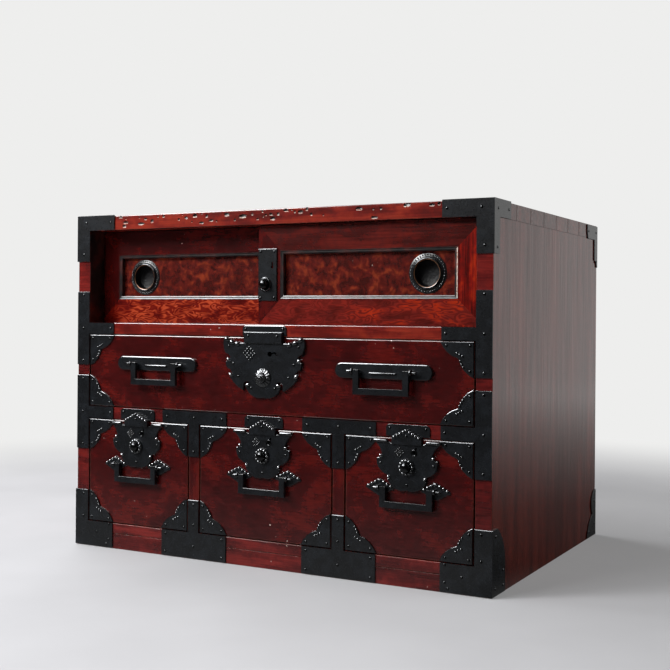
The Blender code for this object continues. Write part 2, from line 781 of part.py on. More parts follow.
def corner_iron_mesh(corner_x, corner_z, to_x, to_z):
    """A cloud-edged iron on one corner of a drawer front: two bows that meet at a cusp."""
    outline = path(
        [
            (0, 0),
            (0, CORNER_REACH, CORNER_BOW),
            (CORNER_CUSP, CORNER_CUSP, CORNER_BOW),
            (CORNER_REACH, 0),
        ]
    )
    placed = [(corner_x + to_x * u, corner_z + to_z * v) for u, v in outline]
    return slab_mesh(placed, FRONT - IRON, FRONT + IRON)


def build_drawer(word, low_x, high_x, low_z, high_z):
    """A drawer: lacquered front with its corner irons, and a plain tray behind it."""
    across = (low_x + RUN, high_x - RUN)
    up = (low_z + RUN, high_z - RUN)
    body = carrier(f"{word}_drawer", ((low_x + high_x) / 2, FRONT, low_z))
    front = part(
        f"{word}_drawer_front",
        box_mesh(across, (FRONT, FRONT + DRAWER_FRONT), up),
        RED_LACQUER,
        None,
        body,
    )
    for x, to_x in ((across[0] + CORNER_INSET, 1), (across[1] - CORNER_INSET, -1)):
        for z, to_z in ((up[0] + CORNER_INSET, 1), (up[1] - CORNER_INSET, -1)):
            join(front, corner_iron_mesh(x, z, to_x, to_z))
    along = (FRONT + DRAWER_FRONT + SEAT, INSIDE_REAR - DRAWER_REST)
    tray = part(
        f"{word}_drawer_tray",
        box_mesh(across, along, (low_z + SEAT, high_z - TRAY_DROP)),
        PALE_WOOD,
        None,
        body,
    )
    hollow = box_mesh(
        (across[0] + DRAWER_SIDE, across[1] - DRAWER_SIDE),
        (along[0] - OVERCUT, along[1] - DRAWER_SIDE),
        (low_z + SEAT + DRAWER_BOTTOM, high_z),
    )
    cut(tray, hollow)
    return front, body


def eye_meshes(centre, pivot, plate_y):
    """The eye that a bail's pin turns in, from its plate out past the pivot, and its bore."""
    y, z = pivot
    outline = path(
        [
            (plate_y, z - EYE_RADIUS),
            (y, z - EYE_RADIUS, EYE_RADIUS * HALF_TURN),
            (y, z + EYE_RADIUS),
            (plate_y, z + EYE_RADIUS),
        ]
    )
    half = EYE_THICK / 2
    eye = slab_mesh(outline, centre - half, centre + half, "side")
    start = (centre - EYE_THICK, y, z)
    bore = rod_mesh(start, (centre + EYE_THICK, y, z), PIN_RADIUS + SEAT, PIN_SIDES)
    return eye, bore


def build_bail(name, centre, pivot, half, drop, parent):
    """A flat bail that hangs on two pins, with its origin on the line of the pins."""
    y, z = pivot
    outline = both_sides(
        [
            (0, BAIL_BAR - drop),
            (half - BAIL_BAR, BAIL_BAR - drop),
            (half - BAIL_BAR, BAIL_HEAD),
            (half, BAIL_HEAD),
            (half, -drop),
            (0, -drop),
        ]
    )
    bar = slab_mesh(shifted(outline, centre, z), y - BAIL_THICK / 2, y + BAIL_THICK / 2)
    bail = part(name, bar, BLACK_IRON, (centre, y, z), parent)
    for side in (-1, 1):
        start = (centre + side * (half - BAIL_BAR / 2), y, z)
        end = (centre + side * (half + PIN_LENGTH), y, z)
        join(bail, rod_mesh(start, end, PIN_RADIUS, PIN_SIDES))


def build_large_handle(word, centre, level, parent):
    """A bail on one long back plate with two eyes and a stop bar between them."""
    pivot = (FRONT - LARGE_PIVOT_OUT, level - LARGE_PIVOT_DROP)
    half = HANDLE_PLATE_HALF
    rise = HANDLE_PLATE_HEIGHT / 2
    middle = pivot[1] + HANDLE_PLATE_RAISE
    outline = both_sides(
        [(0, rise), (half - rise, rise, rise * HALF_TURN), (half - rise, -rise), (0, -rise)]
    )
    rear = FRONT - SEAT
    face = rear - HANDLE_PLATE
    plate = part(
        f"{word}_handle_plate",
        slab_mesh(shifted(outline, centre, middle), face, rear),
        BLACK_IRON,
        None,
        parent,
    )
    bar_middle = pivot[1] - STOP_BAR_DROP
    bar = (bar_middle - STOP_BAR_HEIGHT / 2, bar_middle + STOP_BAR_HEIGHT / 2)
    across = (centre - STOP_BAR_HALF, centre + STOP_BAR_HALF)
    buried = rear - HANDLE_PLATE / 2
    join(plate, box_mesh(across, (face - STOP_BAR_RISE, buried), bar))
    for side in (-1, 1):
        eye, bore = eye_meshes(centre + side * eye_offset(LARGE_BAIL_HALF), pivot, buried)
        join(plate, eye)
        cut(plate, bore)
    build_bail(f"{word}_bail", centre, pivot, LARGE_BAIL_HALF, LARGE_BAIL_DROP, parent)


def eye_offset(half):
    """How far an eye stands from the middle of its bail."""
    return half + EYE_GAP + EYE_THICK / 2


def build_small_handle(word, centre, level, parent):
    """A bail on two lozenge back plates with beaded edges, one for each eye."""
    pivot = (FRONT - SMALL_PIVOT_OUT, level - SMALL_PIVOT_DROP)
    right = beaded((0, LOZENGE_RISE), (LOZENGE_HALF, 0), LOZENGE_BEAD_PITCH, BEAD_BOW)
    right += beaded((LOZENGE_HALF, 0), (0, -LOZENGE_RISE), LOZENGE_BEAD_PITCH, BEAD_BOW)
    outline = both_sides(right + [(0, -LOZENGE_RISE)])
    rear = FRONT - SEAT
    for side, hand in ((-1, "left"), (1, "right")):
        place = centre + side * eye_offset(SMALL_BAIL_HALF)
        plate = part(
            f"{word}_{hand}_lozenge",
            slab_mesh(shifted(outline, place, pivot[1]), rear - IRON, rear),
            BLACK_IRON,
            None,
            parent,
        )
        eye, bore = eye_meshes(place, pivot, rear - IRON / 2)
        join(plate, eye)
        cut(plate, bore)
    build_bail(f"{word}_bail", centre, pivot, SMALL_BAIL_HALF, SMALL_BAIL_DROP, parent)


def build_drawers():
    """The long drawer and the three short ones, with their locks and handles."""
    front, body = build_drawer("large", -INNER, INNER, LARGE_LOW, LARGE_HIGH)
    build_lock(
        "large",
        front,
        body,
        0,
        LARGE_HIGH,
        lock_half(LARGE_LOCK),
        strap_outline(),
        LARGE_KEYHOLE,
        LARGE_DIAMOND,
        LARGE_BUTTON_DROP,
    )
    for side, hand in ((-1, "large_left"), (1, "large_right")):
        build_large_handle(hand, side * (INNER - HANDLE_FROM_END), LARGE_HIGH, body)
    outer = (INNER - POST_OUTER) / 2
    halves = (outer, POST_INNER, outer)
    for word, centre, half in zip(("left", "middle", "right"), small_centres(), halves):
        front, body = build_drawer(word, centre - half, centre + half, SMALL_LOW, SMALL_HIGH)
        build_lock(
            word,
            front,
            body,
            centre,
            SMALL_HIGH,
            lock_half(SMALL_LOCK),
            crown_outline(),
            SMALL_KEYHOLE,
            SMALL_DIAMOND,
            SMALL_BUTTON_DROP,
        )
        build_small_handle(word, centre, SMALL_HIGH, body)


def main():
    """Build the whole chest."""
    build_boards()
    build_frame_irons()
    build_door("left", -1, REAR_TRACK)
    frame, body = build_door("right", 1, FRONT_TRACK)
    build_door_lock(frame, body, FRONT_TRACK)
    build_drawers()


main()
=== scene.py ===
"""A tansu sea chest, dressed over its fixed frame and set on a plain pale stage.

Laid out as an add-on and run as a script: each operator makes one group of the chest's pieces.
The front faces -Y, the chest stands on z = 0 and x = 0 is its middle. Lengths are in metres, and in
millimetres in the tables of outlines, profiles, nails and beads.
"""

import math
import random
from functools import partial

import bmesh
import bpy
from bpy.props import FloatProperty, FloatVectorProperty, IntProperty, PointerProperty
from mathutils import Matrix, Vector, noise


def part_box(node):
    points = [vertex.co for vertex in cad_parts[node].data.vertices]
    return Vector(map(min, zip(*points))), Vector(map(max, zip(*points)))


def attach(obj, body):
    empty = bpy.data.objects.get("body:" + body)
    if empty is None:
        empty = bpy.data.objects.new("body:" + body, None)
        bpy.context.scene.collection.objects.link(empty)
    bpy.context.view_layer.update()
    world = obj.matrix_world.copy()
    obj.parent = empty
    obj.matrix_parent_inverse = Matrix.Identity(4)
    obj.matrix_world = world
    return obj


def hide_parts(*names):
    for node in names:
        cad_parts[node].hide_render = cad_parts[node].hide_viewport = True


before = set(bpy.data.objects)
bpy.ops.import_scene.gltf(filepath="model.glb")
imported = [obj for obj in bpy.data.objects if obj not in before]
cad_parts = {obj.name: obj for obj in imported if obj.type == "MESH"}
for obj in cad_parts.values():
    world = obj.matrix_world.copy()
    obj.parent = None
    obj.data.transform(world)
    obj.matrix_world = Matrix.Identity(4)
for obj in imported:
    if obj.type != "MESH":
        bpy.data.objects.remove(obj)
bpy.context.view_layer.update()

bl_info = {
    "name": "Tansu Sea Chest",
    "version": (1, 0, 0),
    "blender": (4, 5, 0),
    "location": "View3D > Sidebar > Chest",
    "description": "Dresses a lacquered and iron-bound chest over its fixed frame",
    "category": "Object",
}

MM = 0.001

# Planes of the chest that the frame gives, faces of the fittings, and directions
TOP_LOW, TOP_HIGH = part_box("top_board")
UPPER_LOW, UPPER_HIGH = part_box("upper_shelf")
LOWER_LOW, LOWER_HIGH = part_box("lower_shelf")
FRONT = TOP_LOW.y
REAR = TOP_HIGH.y
HALF_WIDTH = TOP_HIGH.x
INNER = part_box("base_board")[1].x
IRON_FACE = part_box("upper_right_band")[0].y
SMALL_TOP = LOWER_LOW.z
LARGE_TOP = UPPER_LOW.z
LOCK_FACE = FRONT - 3.5 * MM
PLATE_FACE = FRONT - 1.5 * MM
FRONTWARD = Vector((0, -1, 0))
UPWARD = Vector((0, 0, 1))

# Names of the slots that the pieces are passed
RED = "red_lacquer"
DARK = "dark_lacquer"
FIGURED = "figured_panel"
PALE = "drawer_wood"
BLACK = "black_iron"

# Names of the materials
RAIL = "red_rail_lacquer"
FOOT = "crimson_foot_lacquer"
DRAWER = "dark_red_drawer_lacquer"
POST = "dark_red_post_lacquer"
STILE = "red_stile_lacquer"
# Red door lacquer, darkened as painted shade under the top board
SHADED_DOOR_RAIL = "red_door_lacquer"
BURL = "burl_rail_lacquer"
FIGURED_RAIL = "figured_rail_lacquer"
SIDE = "dark_side_lacquer"
TOP = "dark_top_lacquer"
PANEL = "figured_panel_lacquer"
# Near-black lacquer of the mouldings, also painted shade in the dents and on the sides' inner faces
MOULDING_AND_SHADE = "black_moulding_lacquer"
# Pale wood that paints highlights on the dents' lips and on the front door's moulding slope
HIGHLIGHT_WOOD = "broken_wood"
IRON = "black_lacquered_iron"
# Matt black iron, painted shade in the pulls' cups and on the rear irons' edges
SHADE_IRON = "sooted_iron"
COPPER = "rubbed_copper"
WOOD = "planed_paulownia"
WOOD_SIDES = "planed_paulownia_sides"

# Steps between faces: clear of the face that a plate is laid on, the cut under irons that are fused
# with a board, a laid plate, an iron on a side, a strap over a lock, and a cutter's reach past a plate
CLEAR = 0.1 * MM
SKIN = 0.05 * MM
LAID = 1.4 * MM
SIDE_RISE = 1.5 * MM
STRAP_RISE = 1.8 * MM
PAST = 2 * MM

# Depths between which a cutter passes through a lock's plate
THROUGH = (LOCK_FACE - PAST, FRONT + PAST)

# Angles: a step of an arc, the least of a sharp edge and the most between faces of one plane
ARC_STEP = math.radians(14)
SHARP = math.radians(40)
ONE_PLANE = math.radians(1)

# Least part of a normal along an axis for a face that faces that way, and for one that leans to it
FACES = 0.7
LEANS = 0.3

# How worn iron is, from 0 for none to 1 for bare: nails and buttons, corners and eyes, edges, beads
HANDLED = 0.1
TOUCHED = 0.2
RUBBED = 0.3
BRIGHT = 0.5

# Sizes of the bails that the frame's boxes don't show
BAIL_HEAD = 1.9 * MM
PIN_LENGTH = 10 * MM
PIN_RADIUS = 1.7 * MM

# Lock buttons: radius of their bores, and rays on the long drawer's
BORE = 6.3 * MM
RAYS = 16

# Right halves of the lock plates, from the top middle round to the foot, in millimetres from
# the lower edge of the rail above: across, up and the bow of the arc to the next corner
LARGE_LOCK = (
    (0, -8), (35, -8, -1.6), (42.5, -7, -1.6), (50, -3.5, -1.6), (58, -1.8, 2.5), (55.5, -21.5, -1.2),
    (49, -26, -1.2), (55, -31.5, 1.2), (52.5, -40.5, -1.2), (46.5, -45, -1.2), (49.5, -51, 1.8),
    (29, -67.5), (28, -58.5, -2), (20, -57, -1.5), (25.5, -62, 6), (0, -75.5),
)
SMALL_LOCK = (
    (0, -7), (19.5, -7, -1), (26, -3), (42, -3), (41, -6.5, -1.6), (32, -20, -1.5), (38.5, -25, 3),
    (31, -41.5, 0.8), (22.5, -44.5, -1.2), (25, -49, 5.5), (0, -61),
)

# Cloud-edged irons on the corners of the drawers, from the corner inward: outline, nails and beads
CLOUD = ((0.6, 0.6), (0.6, 41.6, 3.5), (19.6, 19.6, 3.5), (41.6, 0.6))
CLOUD_NAILS = ((5, 5), (5, 34), (34, 5))
CLOUD_BEADS = ((13.2, 29.5), (15.4, 26.2), (17, 22.6), (17.6, 15.2), (14, 17), (20.8, 13.4))

# Rear irons on the sides, in millimetres forward of the rear edge and up from the top or the floor:
# corners and nails
REAR_HEAD = ((52, -0.8), (52, -11), (49, -20.5), (15.2, -20.5), (15.2, -50, -2.4), (4, -59.5), (0, -60))
REAR_IRONS = {
    "top": ((*REAR_HEAD, (0, -0.8)), ((45.7, -10), (7.7, -10), (7, -52))),
    "base": (((0, 0.8), (0, 66, 13.5), (17, 32, 5), (44, 0.8)), ((35, 9), (7.7, 17), (9, 50))),
}

# Keyholes: a slot over a round hole, and a slot that hooks away to the right
SLOT_KEYHOLE = ((-1.1, 7), (1.1, 7), (1.1, 1.9, 3.4), (-1.1, 1.9), (-1.1, 7))
HOOK_KEYHOLE = ((2.9, 1.2, 2.6), (11.4, -1.9), (9.6, -2.4, -1.9), (3.2, -0.8, 6.2), (2.9, 1.2))

# Turned profiles in millimetres: radius, and height above the face
PULL_CUP = ((0, -8), (13.5, -8), (15.2, -7.2), (15.8, -5.5), (15.8, 1.4))
PULL_ROLL = ((16.0, 2.3), (16.7, 2.9), (17.5, 3.1), (18.3, 2.8), (18.9, 2.1), (19.3, 1.2), (19.8, 0.6))
PULL_BACK = ((23.4, 0.6), (24, 0.3), (24, 0), (17.4, 0), (17.4, -9.4), (0, -9.4))
DOOR_COLLAR = ((6.4, 0), (6.4, 1.6), (7.4, 2.4), (8.6, 1.9), (9.2, 0.6), (9.2, 0), (6.4, 0))
SMALL_COLLAR = ((6.4, -0.5), (6.4, 3), (7.2, 3), (9.6, 1.8), (10, 0.8), (10, -0.5), (6.4, -0.5))
LARGE_COLLAR = ((6.4, -0.5), (6.4, 3.3), (7, 3.2), (11, 1.4), (11.6, 0.8), (11.6, -0.5), (6.4, -0.5))
LARGE_TIP = ((0, 9), (1, 8.9), (1.8, 8.5), (2.2, 7.8), (2.4, 7.3))
LARGE_SKIRT = ((3, 7.1), (4.6, 6.3), (6, 5.5), (6, -9), (0, -9))
KEYHOLE_RING = ((2.5, 0), (2.5, 0.7), (3.2, 1.2), (3.9, 0.8), (4.1, 0), (2.5, 0))
EYE_HALF = ((3.6, 1.0), (3.2, 1.5), (2.4, 1.5), (2.0, 1.0))


def linear(hexcode):
    """A linear colour from an sRGB hex value."""
    parts = [int(hexcode[i : i + 2], 16) / 255 for i in (1, 3, 5)]
    return tuple(p / 12.92 if p <= 0.04045 else ((p + 0.055) / 1.055) ** 2.4 for p in parts)


def colour(label, told, hexcode):
    """A colour property."""
    return FloatVectorProperty(
        name=label, description=told, subtype="COLOR", size=3, min=0, max=1, default=linear(hexcode)
    )


def length(label, told, millimetres):
    """A length property."""
    return FloatProperty(
        name=label, description=told, subtype="DISTANCE", unit="LENGTH", min=0, default=millimetres * MM
    )


class ChestColours(bpy.types.PropertyGroup):
    """Colours of the lacquer, the irons and the stage."""

    rail_deep: colour("Rail, deep", "Lacquer in the hollows of the rails' grain", "#54120d")
    rail_body: colour("Rail", "Lacquer on the rails", "#701a13")
    rail_glow: colour("Rail, glow", "Wood that shows through the rails' lacquer", "#86291a")
    foot_deep: colour("Foot rail, deep", "Lacquer in the hollows of the lower rails", "#440d0d")
    foot_body: colour("Foot rail", "Lacquer on the lower rails", "#5a1312")
    foot_glow: colour("Foot rail, glow", "Wood that shows through the lower rails' lacquer", "#701c18")
    drawer_deep: colour("Drawer, deep", "Lacquer in the hollows of the drawers' grain", "#360707")
    drawer_body: colour("Drawer", "Lacquer on the drawer fronts", "#410909")
    drawer_glow: colour("Drawer, glow", "Wood that shows through the drawers' lacquer", "#540f0b")
    stile_deep: colour("Stile, deep", "Lacquer in the hollows of the stiles' grain", "#540703")
    stile_body: colour("Stile", "Lacquer on the stiles and doors", "#760e06")
    stile_glow: colour("Stile, glow", "Wood that shows through the stiles' lacquer", "#982408")
    # The door rail's colours are darkened as painted shade under the top board
    door_deep: colour("Door rail, deep", "Lacquer in the hollows of the door rails' grain", "#3c0b08")
    door_body: colour("Door rail", "Lacquer on the door rails", "#4c100c")
    door_glow: colour("Door rail, glow", "Wood that shows through the door rails' lacquer", "#5e1710")
    side_deep: colour("Side, deep", "Dark lacquer in the hollows of the sides", "#4c1b14")
    side_body: colour("Side", "Dark lacquer on the sides and top", "#602219")
    side_glow: colour("Side, glow", "Wood that shows through the sides' lacquer", "#702a1f")
    panel_deep: colour("Panel, deep", "Dark figure of the door panels", "#3e0f0b")
    panel_body: colour("Panel", "Lacquer on the door panels", "#581711")
    panel_glow: colour("Panel, glow", "Bright figure of the door panels", "#80301a")
    burl_glow: colour("Burl, glow", "Bright rings of the doors' foot rails", "#a83f20")
    # The black shades also paint shade: in the dents' hollows, on the sides' inner faces and in the pulls'
    # cups
    black_deep: colour("Black, deep", "Hollows of the black lacquer", "#0e0a0a")
    black_body: colour("Black", "Black lacquer of the door mouldings", "#1a1212")
    worn: colour("Worn edge", "Lacquer rubbed thin along the edges", "#b06a52")
    # The chip colour also paints highlights on the dents' lower lips and on the front door's moulding slope
    chip: colour("Chip", "Pale wood where the lacquer has chipped", "#d6c8bd")
    iron: colour("Iron", "Black lacquered iron", "#0e1013")
    iron_pale: colour("Iron, rubbed", "Iron where the black is rubbed", "#16191d")
    iron_edge: colour("Iron edge", "Iron worn bright along its edges", "#a6a8ab")
    copper: colour("Copper", "Copper that shows on the lips of the pulls", "#c08a66")
    paulownia: colour("Paulownia", "Plain wood of the trays and back", "#a88a66")
    paulownia_dark: colour("Paulownia, dark", "Late wood of the trays and back", "#8f7150")
    floor: colour("Floor", "Pale floor", "#a8a8ac")
    floor_pale: colour("Floor, pale", "Pale clouds of the floor", "#c2c2c6")
    backdrop: colour("Backdrop", "Pale backdrop", "#eeeeed")


class ChestSizes(bpy.types.PropertyGroup):
    """Sizes of the edges, nails, beads and marks."""

    board_edge: length("Board edge", "Rounding of the boards' edges", 1.0)
    drawer_edge: length("Drawer edge", "Rounding of the drawer fronts' edges", 1.0)
    drawer_gap: length("Drawer gap", "Wear at the ends of the drawer fronts", 0.8)
    iron_edge: length("Iron edge", "Rounding of the irons' edges", 0.5)
    rim: length("Rim", "Width of a plate's raised rim", 1.5)
    rim_rise: length("Rim rise", "Height of a plate's raised rim", 0.6)
    nail: length("Nail", "Radius of a nail's head", 1.8)
    nail_rise: length("Nail rise", "Height of a nail's head", 0.9)
    bead: length("Bead", "Radius of an ornamental bead", 1.5)
    dent_depth: length("Dent depth", "Depth of the dents in the top rail", 2.2)
    dents: IntProperty(name="Dents", description="Dents in the top rail", default=46, min=0)
    moulding: length("Moulding", "Width of each slope of the moulding round a door panel", 1.3)
    moulding_drop: length("Moulding drop", "Depth of each slope of that moulding", 0.55)
    member: length("Door member", "Width of a door's stiles and rails", 32.0)


def sizes():
    """The chest's sizes."""
    return bpy.context.scene.chest_sizes


def colours():
    """The chest's colours."""
    return bpy.context.scene.chest_colours


# Finishes

SMOOTH = {"interpolation_type": "SMOOTHSTEP"}
BLEND = {"out": 2, "data_type": "RGBA"}


def wire(node, inputs):
    """Set or link a node's inputs, given by name or number, or in order."""
    for key, value in inputs.items() if isinstance(inputs, dict) else enumerate(inputs):
        socket = node.inputs[key]
        if isinstance(value, bpy.types.NodeSocket):
            node.id_data.links.new(value, socket)
        elif socket.type == "RGBA":
            socket.default_value = (*value[:3], 1.0)
        else:
            socket.default_value = value


def add(tree, kind, inputs, out=0, **settings):
    """Add a node with its settings and inputs, and give the wanted output."""
    node = tree.nodes.new("ShaderNode" + kind)
    for name, value in settings.items():
        setattr(node, name, value)
    wire(node, inputs)
    return node.outputs[out]


def new_finish(name):
    """An empty material, with what adds its nodes, its shader and the place on the piece."""
    made = bpy.data.materials.new(name)
    made.use_nodes = True
    put = partial(add, made.node_tree)
    return made, put, made.node_tree.nodes["Principled BSDF"], put("TexCoord", [], 3)


def per_mm(*lengths):
    """Repeats in a metre for lengths in millimetres."""
    return tuple(1 / (each * MM) for each in lengths)


# What the lacquers share: millimetres of the mottle, of a chip and of the regions with chips, how
# much a worn edge pales, and the length over which a burl begins
MOTTLE, CHIP, CHIPPED_REGION = 7, 4, 60
EDGE_PALES = 0.27
BURL_BEGINS = 60 * MM

# Lacquers: the colours' first word, millimetres of the clouds and of the grain along X, Y and Z, depth
# of the grain's lines, roughness of the clear coat, and what else differs
LACQUERS = {
    # The warm red of the rails, with the grain along X
    RAIL: dict(tint="rail", cloud=(70, 20, 20), grain=(45, 1.6, 1.6), lines=0.2, gloss=0.14),
    # The darker crimson of the lower rails, with the grain along X
    FOOT: dict(tint="foot", cloud=(70, 20, 20), grain=(45, 1.6, 1.6), lines=0.25, gloss=0.14),
    # The dark red of the drawer fronts, with soft glowing clouds and faint grain along X
    DRAWER: dict(tint="drawer", cloud=(45, 36, 36), grain=(16, 2.2, 2.2), lines=0.3, gloss=0.12),
    # The dark red of the posts, with the grain along Z
    POST: dict(tint="drawer", cloud=(30, 30, 60), grain=(1.8, 1.8, 30), lines=0.15, gloss=0.12),
    # The bright red of the right door's stile, with clear grain along Z
    STILE: dict(tint="stile", cloud=(14, 14, 60), grain=(1.8, 1.8, 50), lines=0.5, gloss=0.14),
    # The red of the front door's head rail, darkened as painted shade under the top board, with the grain
    # along X
    SHADED_DOOR_RAIL: dict(tint="door", cloud=(60, 16, 16), grain=(50, 1.8, 1.8), lines=0.3, gloss=0.14),
    # The foot rail of the rear door: burl with fine bright rings, stretched along X
    BURL: dict(
        tint="stile", glow="burl_glow", cloud=(36, 16, 16), grain=(24, 9, 9), lines=0.25, gloss=0.14,
        mottled=0, curl=44, spread=0.12, start=-INNER,
    ),
    # The foot rail of the front door: plain red with a few burl rings towards its right end
    FIGURED_RAIL: dict(
        tint="rail", glow="stile_glow", cloud=(40, 16, 16), grain=(24, 9, 9), lines=0.25, gloss=0.14,
        mottled=0, curl=44, spread=0.03, start=90 * MM,
    ),
    # The dark glossy brown of the sides, with the grain along Z and dark chips
    SIDE: dict(
        tint="side", cloud=(60, 24, 200), grain=(5, 4, 160), lines=0.2, gloss=0.1, flaw="black_deep"
    ),
    # The dark glossy brown of the top board, with the grain along X and dark chips
    TOP: dict(
        tint="side", cloud=(200, 24, 60), grain=(160, 4, 5), lines=0.2, gloss=0.1, flaw="black_deep"
    ),
    # Figured wood of the door panels: soft orange flames under a dark red coat
    PANEL: dict(
        tint="panel", cloud=(14, 10, 12), grain=(5, 4, 8), lines=0.25, gloss=0.13, mottled=0.5, spread=-0.01
    ),
    # The near-black lacquer of the door mouldings and of the pins' joints, and painted shade in the dents'
    # hollows and on the sides' inner faces
    MOULDING_AND_SHADE: dict(
        tint="black", glow="side_deep", cloud=(30, 30, 30), grain=(6, 6, 6), lines=0.1, gloss=0.3
    ),
}


def lacquer(
    name, tint, cloud, grain, lines, gloss, glow="", mottled=0.35, curl=0, spread=0.02, start=0, flaw="chip"
):
    """Urushi over zelkova, rubbed by hand: a deep soft red that darkens and glows in clouds, with
    faint grain lines, a few chips in the colour flaw and a glossy clear coat. With curl, the grain
    turns into the fine bright rings of a burl, which begin at start along X."""
    made, put, shader, place = new_finish(name)
    tones = (f"{tint}_deep", f"{tint}_body", glow or f"{tint}_glow", flaw)
    deep, body, glow, flaw = (getattr(colours(), each) for each in tones)
    patch = put("Mapping", {0: place, "Scale": per_mm(*cloud)})
    drift = put("TexNoise", {0: patch, "Scale": 1, "Detail": 3, "Distortion": 0.5})
    mottle = put("TexNoise", {0: place, "Scale": per_mm(MOTTLE)[0], "Detail": 3})
    along = put("Mapping", {0: place, "Scale": per_mm(*grain)})
    fineness = 1 if curl else 4
    streak = put("TexNoise", {0: along, "Scale": 1, "Detail": fineness, "Distortion": 0.6})
    speck = put("TexNoise", {0: place, "Scale": per_mm(CHIP)[0], "Detail": 1})
    region = put("TexNoise", {0: place, "Scale": per_mm(CHIPPED_REGION)[0], "Detail": 1})
    depth = put("Math", [mottle, mottled, drift], operation="MULTIPLY_ADD")
    even = 0.5 + 0.5 * mottled
    hollow = put("MapRange", [depth, even - 0.17, even + 0.08], **SMOOTH)
    lit = put("MapRange", [depth, even - spread, even - spread + 0.22], **SMOOTH)
    if curl:
        rings = put("Math", [streak, curl], operation="MULTIPLY")
        rings = put("Math", [rings], operation="SINE")
        streak = put("MapRange", [rings, -1.0, 1.0, 0.3, 0.7])
        ringed = put("MapRange", [rings, -0.6, 1.0, 0.12, 1.0], **SMOOTH)
        lit = put("Math", [lit, ringed], operation="MULTIPLY")
        across = put("SeparateXYZ", [place])
        begun = put("MapRange", [across, start, start + BURL_BEGINS], **SMOOTH)
        lit = put("Math", [lit, begun], operation="MULTIPLY")
    lined = put("MapRange", [streak, 0.34, 0.64, 1 - lines, 1 + lines / 2], **SMOOTH)
    chipped = put("MapRange", [speck, 0.78, 0.795], **SMOOTH)
    scarce = put("MapRange", [region, 0.6, 0.64], **SMOOTH)
    chips = put("Math", [chipped, scarce], operation="MULTIPLY")
    edge = put("Attribute", [], 2, attribute_name="wear")
    wear = put("Math", [edge, EDGE_PALES], operation="MULTIPLY")
    tone = put("Mix", {0: hollow, 6: deep, 7: body}, **BLEND)
    tone = put("Mix", {0: lit, 6: tone, 7: glow}, **BLEND)
    tone = put("VectorMath", {0: tone, 3: lined}, operation="SCALE")
    tone = put("Mix", {0: wear, 6: tone, 7: colours().worn}, **BLEND)
    tone = put("Mix", {0: chips, 6: tone, 7: flaw}, **BLEND)
    rough = put("MapRange", {0: mottle, 3: gloss + 0.12, 4: gloss + 0.02})
    relief = put("Bump", {"Strength": 0.25, "Distance": 0.15 * MM, "Height": streak})
    coat = put("MapRange", [streak, 0.3, 0.7, 0.3, 0.7])
    wire(shader, {"Base Color": tone, "Roughness": rough, "Normal": relief})
    wire(shader, {"Coat Weight": coat, "Coat Roughness": gloss})
    return made


def pale_wood_highlight(name):
    """Pale bare wood, a painted highlight on the dents' lower lips and on the front door's moulding slope:
    dry, ragged and a little dirty.
    """
    made, put, shader, place = new_finish(name)
    dirt = put("TexNoise", {0: place, "Scale": per_mm(2.5)[0], "Detail": 3})
    soiled = put("MapRange", [dirt, 0.4, 0.66], **SMOOTH)
    tone = put("Mix", {0: soiled, 6: colours().chip, 7: colours().worn}, **BLEND)
    wire(shader, {"Base Color": tone, "Roughness": 0.5})
    return made


def black_iron(name):
    """Forged iron under black lacquer: softly hammered, finely pitted, glossy and rubbed at its edges."""
    made, put, shader, place = new_finish(name)
    hammer = put("TexNoise", {0: place, "Scale": per_mm(11)[0], "Detail": 2})
    pits = put("TexNoise", {0: place, "Scale": per_mm(1.6)[0], "Detail": 3})
    patch = put("MapRange", [hammer, 0.4, 0.7], **SMOOTH)
    edge = put("Attribute", [], 2, attribute_name="wear")
    tone = put("Mix", {0: patch, 6: colours().iron, 7: colours().iron_pale}, **BLEND)
    tone = put("Mix", {0: edge, 6: tone, 7: colours().iron_edge}, **BLEND)
    bare = put("MapRange", [edge, 0.0, 0.05])
    rough = put("MapRange", {0: pits, 3: 0.22, 4: 0.36})
    rough = put("Mix", {0: bare, 2: rough, 3: 0.17})
    relief = put("Bump", {"Strength": 0.35, "Distance": 0.3 * MM, "Height": hammer})
    relief = put("Bump", {"Strength": 0.35, "Distance": 0.08 * MM, "Height": pits, "Normal": relief})
    coat = put("MapRange", {0: edge, 3: 0.6, 4: 0.0})
    wire(shader, {"Base Color": tone, "Metallic": bare, "Roughness": rough, "Normal": relief})
    wire(shader, {"Coat Weight": coat, "Coat Roughness": 0.18})
    return made


def shade_iron(name):
    """Iron in the pulls' cups and on the rear irons' edges: black, matt and coarsely hammered, painted shade
    that keeps them dark.
    """
    made, put, shader, place = new_finish(name)
    hammer = put("TexNoise", {0: place, "Scale": per_mm(3)[0], "Detail": 2})
    tone = put("Mix", {0: hammer, 6: colours().black_deep, 7: colours().iron}, **BLEND)
    relief = put("Bump", {"Strength": 0.8, "Distance": 0.6 * MM, "Height": hammer})
    wire(shader, {"Base Color": tone, "Normal": relief, "Roughness": 0.45, "Specular IOR Level": 0.25})
    return made


def copper_lip(name):
    """Copper that shows through the black on the lips of the pulls: warm, rubbed and satin."""
    made, put, shader, place = new_finish(name)
    patch = put("TexNoise", {0: place, "Scale": per_mm(6)[0], "Detail": 3})
    shown = put("MapRange", [patch, 0.3, 0.5], **SMOOTH)
    tone = put("Mix", {0: shown, 6: colours().iron_pale, 7: colours().copper}, **BLEND)
    rough = put("MapRange", {0: patch, 3: 0.25, 4: 0.45})
    wire(shader, {"Base Color": tone, "Roughness": rough, "Metallic": 0.8})
    return made


